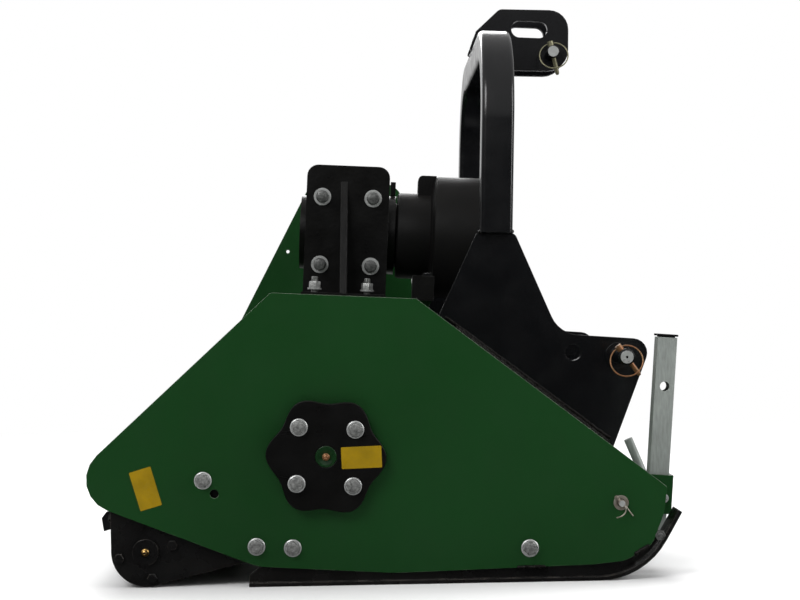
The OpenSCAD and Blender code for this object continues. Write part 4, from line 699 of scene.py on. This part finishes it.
clipLook = {
    "holeAt": 7.0, "longRadius": 0.85, "shortRadius": 0.75, "eye": (-6.2, 6.8),
    "washer": [(5.3, 0.0), (9.2, 0.0), (9.35, 0.2), (9.35, 1.8), (9.1, 2.0), (5.3, 2.0), (5.3, 0.0)],
    "longLeg": [
        (-6.4, 6.2, 0), (-4.8, 4.6, 0), (2.2, -2.2, 0), (3.9, -4.3, 0.2), (5.0, -7.0, 0.5), (4.9, -9.6, 0.8),
        (3.2, -13.0, 1.1), (0.2, -15.6, 1.2), (-3.2, -17.0, 1.2), (-7.0, -17.8, 1.2),
    ],
    "shortLeg": [
        (-5.4, 7.0, 0), (-3.9, 5.5, 0), (3.1, -1.3, 0), (5.2, -4.2, 0.2), (8.8, -9.2, 0.5), (13.7, -16.1, 0.8),
    ],
}
mesh = bmesh.new()
for side, turn in ((-1, faceRight), (1, faceLeft)):
    spot = atPlace(pinLook["rodX"], side * plateFace, pinLook["rodZ"], turn)
    addTurned(mesh, clipLook["washer"], spot, 40)
    seat = spot @ Matrix.Translation((0, 0, mm(clipLook["holeAt"])))
    addWire(mesh, clipLook["longLeg"], clipLook["longRadius"], seat)
    addWire(mesh, clipLook["shortLeg"], clipLook["shortRadius"], seat)
    eye = seat @ Matrix.Translation((mm(clipLook["eye"][0]), mm(clipLook["eye"][1]), 0))
    addTurned(mesh, [(0, -1.7), (2.0, -1.5), (3.0, 0.0), (2.0, 1.5), (0, 1.7)], eye, 16)
newPiece("flapClips", mesh, "brownSteel", "frame", ("flap_rod_clips",))
print("arch, welds and pins made")

# bearing cap disc and grease nipples

nippleProfile = [
    (0, 0.0), (4.2, 0.0), (4.6, 0.4), (4.6, 3.4), (4.2, 4.0), (3.4, 4.4), (2.7, 6.4), (2.6, 6.9), (3.1, 7.4),
    (3.2, 8.4), (2.8, 9.4), (1.6, 10.0), (1.1, 9.6), (0, 9.6),
]
capSpot = atPlace(0, -plateFace - boltLook["bearingSeat"], 162, faceRight)
mesh = bmesh.new()
disc = [(0, -5.0), (13.5, -5.0), (13.5, -0.8), (12.7, 0.0), (9.0, 0.0), (8.0, -0.5), (0, -0.5)]
addTurned(mesh, disc, capSpot, 48)
newPiece("bearingCapDisc", mesh, "greenCapShaded", "frame", ("bearing_cap",))
mesh = bmesh.new()
addTurned(mesh, nippleProfile, capSpot, 20)
newPiece("rotorNipple", mesh, "yellowZinc", "frame")
mesh = bmesh.new()
for side, turn in ((-1, faceRight), (1, faceLeft)):
    grown = [(r * 1.08 if r else 0, h * 1.02) for r, h in nippleProfile]
    addTurned(mesh, grown, atPlace(-228.4, side * 538.5, 45, turn), 20)
newPiece("rollerNipples", mesh, "brass", "roller_arm")

# plain yellow labels without marks

labelLook = {"thick": 0.35, "corner": 1.2}


def addLabel(name, x, z, width, height, lean, face):
    mesh = bmesh.new()
    grid = bmesh.ops.create_grid(mesh, x_segments=1, y_segments=1, size=0.5)
    bmesh.ops.scale(mesh, vec=(mm(width), mm(height), 1), verts=grid["verts"])
    bmesh.ops.bevel(
        mesh, geom=list(mesh.verts), offset=mm(labelLook["corner"]), offset_type="OFFSET", segments=4,
        profile=0.5, affect="VERTICES", material=-1,
    )
    pushed = bmesh.ops.extrude_face_region(mesh, geom=list(mesh.faces))
    verts = [g for g in pushed["geom"] if isinstance(g, bmesh.types.BMVert)]
    bmesh.ops.translate(mesh, vec=(0, 0, mm(labelLook["thick"])), verts=verts)
    spot = atPlace(x, -face, z, faceRight @ Matrix.Rotation(math.radians(lean), 4, "Z"))
    bmesh.ops.transform(mesh, matrix=spot, verts=list(mesh.verts))
    newPiece(name, mesh, "labelYellow", "frame")


addLabel("labelRear", -226.0, 125.0, 28.0, 50.0, 16.0, plateFace)
addLabel("labelBearing", 44.0, 160.5, 50.0, 27.0, 1.5, plateFace + boltLook["bearingSeat"])
print("labels made")

# the stage: floor, light and camera

floorLook = {"size": 14.0, "tone": (0.86, 0.86, 0.86), "fadeFrom": 0.75, "fadeTo": 2.4, "mirrored": 0.03}
mesh = bmesh.new()
bmesh.ops.create_grid(mesh, x_segments=1, y_segments=1, size=floorLook["size"] / 2)
data = bpy.data.meshes.new("floor")
mesh.to_mesh(data)
mesh.free()
floor = bpy.data.objects.new("floor", data)
bpy.context.scene.collection.objects.link(floor)
material = bpy.data.materials.new("floorWhite")
material.use_nodes = True
tree = material.node_tree
shader = tree.nodes["Principled BSDF"]
shader.inputs["Base Color"].default_value = (*floorLook["tone"], 1)
shader.inputs["Roughness"].default_value = 0.8
shader.inputs["Specular IOR Level"].default_value = 0.1
coords = newNode(tree, "ShaderNodeTexCoord")
length = newNode(tree, "ShaderNodeVectorMath", operation="LENGTH")
tree.links.new(coords.outputs["Object"], length.inputs[0])
fade = rangeOf(tree, length.outputs["Value"], floorLook["fadeFrom"], floorLook["fadeTo"], 0.0, 1.0)
rays = newNode(tree, "ShaderNodeLightPath")
glow = newNode(tree, "ShaderNodeEmission", Strength=1.0)
dim = newNode(tree, "ShaderNodeEmission", Strength=floorLook["mirrored"])
blend = newNode(tree, "ShaderNodeMixShader")
tree.links.new(mathOf(tree, "MULTIPLY", fade, rays.outputs["Is Camera Ray"]), blend.inputs[0])
tree.links.new(shader.outputs[0], blend.inputs[1])
tree.links.new(glow.outputs[0], blend.inputs[2])
calm = newNode(tree, "ShaderNodeMixShader")  # gloss sees a dim floor, as in the photograph
tree.links.new(rays.outputs["Is Glossy Ray"], calm.inputs[0])
tree.links.new(blend.outputs[0], calm.inputs[1])
tree.links.new(dim.outputs[0], calm.inputs[2])
tree.links.new(calm.outputs[0], tree.nodes["Material Output"].inputs["Surface"])
data.materials.append(material)

worldLook = {"light": 0.36, "behindCamera": 0.015, "backdrop": 0.8, "above": 0.55}
world = bpy.data.worlds.new("studio")
bpy.context.scene.world = world
world.use_nodes = True
tree = world.node_tree
background = tree.nodes["Background"]
background.inputs["Color"].default_value = (1, 1, 1, 1)
coords = newNode(tree, "ShaderNodeTexCoord")
parts = newNode(tree, "ShaderNodeSeparateXYZ")
tree.links.new(coords.outputs["Generated"], parts.inputs[0])
rays = newNode(tree, "ShaderNodeLightPath")
mirrored = rangeOf(tree, parts.outputs["Y"], 0.1, 0.9, 0.0, worldLook["backdrop"])
raised = rangeOf(tree, parts.outputs["Z"], 0.12, 0.2, worldLook["behindCamera"], worldLook["above"])
mirrored = mathOf(tree, "MAXIMUM", mirrored, raised)
seen = mathOf(tree, "MAXIMUM", rays.outputs["Is Camera Ray"], rays.outputs["Is Transmission Ray"])
plain = mathOf(tree, "SUBTRACT", 1.0, rays.outputs["Is Glossy Ray"])
strength = mathOf(tree, "MULTIPLY", plain, worldLook["light"])
strength = mathOf(tree, "ADD", strength, mathOf(tree, "MULTIPLY", rays.outputs["Is Glossy Ray"], mirrored))
strength = mathOf(tree, "MAXIMUM", strength, seen)
tree.links.new(strength, background.inputs["Strength"])


def addLamp(name, at, towards, size, power, mirrored=True):
    data = bpy.data.lights.new(name, "AREA")
    data.shape = "RECTANGLE"
    data.size, data.size_y = size
    data.energy = power
    lamp = bpy.data.objects.new(name, data)
    lamp.location = at
    lamp.rotation_mode = "QUATERNION"
    lamp.rotation_quaternion = (Vector(towards) - Vector(at)).to_track_quat("-Z", "Y")
    lamp.visible_glossy = mirrored
    bpy.context.scene.collection.objects.link(lamp)


addLamp("keyLamp", (-1.5, -2.6, 2.3), (0, -0.2, 0.35), (1.8, 1.4), 62)
addLamp("topLamp", (0.2, 0.3, 2.7), (0, 0, 0.3), (2.4, 1.6), 70, False)
addLamp("rightLamp", (2.4, -1.2, 1.3), (0.1, 0, 0.35), (0.9, 1.6), 26)
addLamp("backLamp", (-0.4, 2.6, 1.9), (0, 0, 0.4), (2.0, 1.2), 50)

cameraLook = {
    "focalPixels": 1722.0, "distance": 2690.0, "x": 58.0, "z": 346.3, "roll": 1.08, "axisPixel": (370.0, 307.0),
}
data = bpy.data.cameras.new("camera")
data.sensor_width = 36.0
data.lens = cameraLook["focalPixels"] * 36.0 / 800
data.shift_x = (400 - cameraLook["axisPixel"][0]) / 800
data.shift_y = (cameraLook["axisPixel"][1] - 300) / 800
data.clip_start, data.clip_end = 0.1, 60
camera = bpy.data.objects.new("camera", data)
roll = math.radians(cameraLook["roll"])
spot = Matrix.Translation(place(cameraLook["x"], -cameraLook["distance"], cameraLook["z"]))
camera.matrix_world = spot @ Matrix((
    (math.cos(roll), math.sin(roll), 0, 0),
    (0, 0, -1, 0),
    (-math.sin(roll), math.cos(roll), 0, 0),
    (0, 0, 0, 1),
))
bpy.context.scene.collection.objects.link(camera)
bpy.context.scene.camera = camera
bpy.context.scene.view_settings.view_transform = "Standard"
print("stage ready")
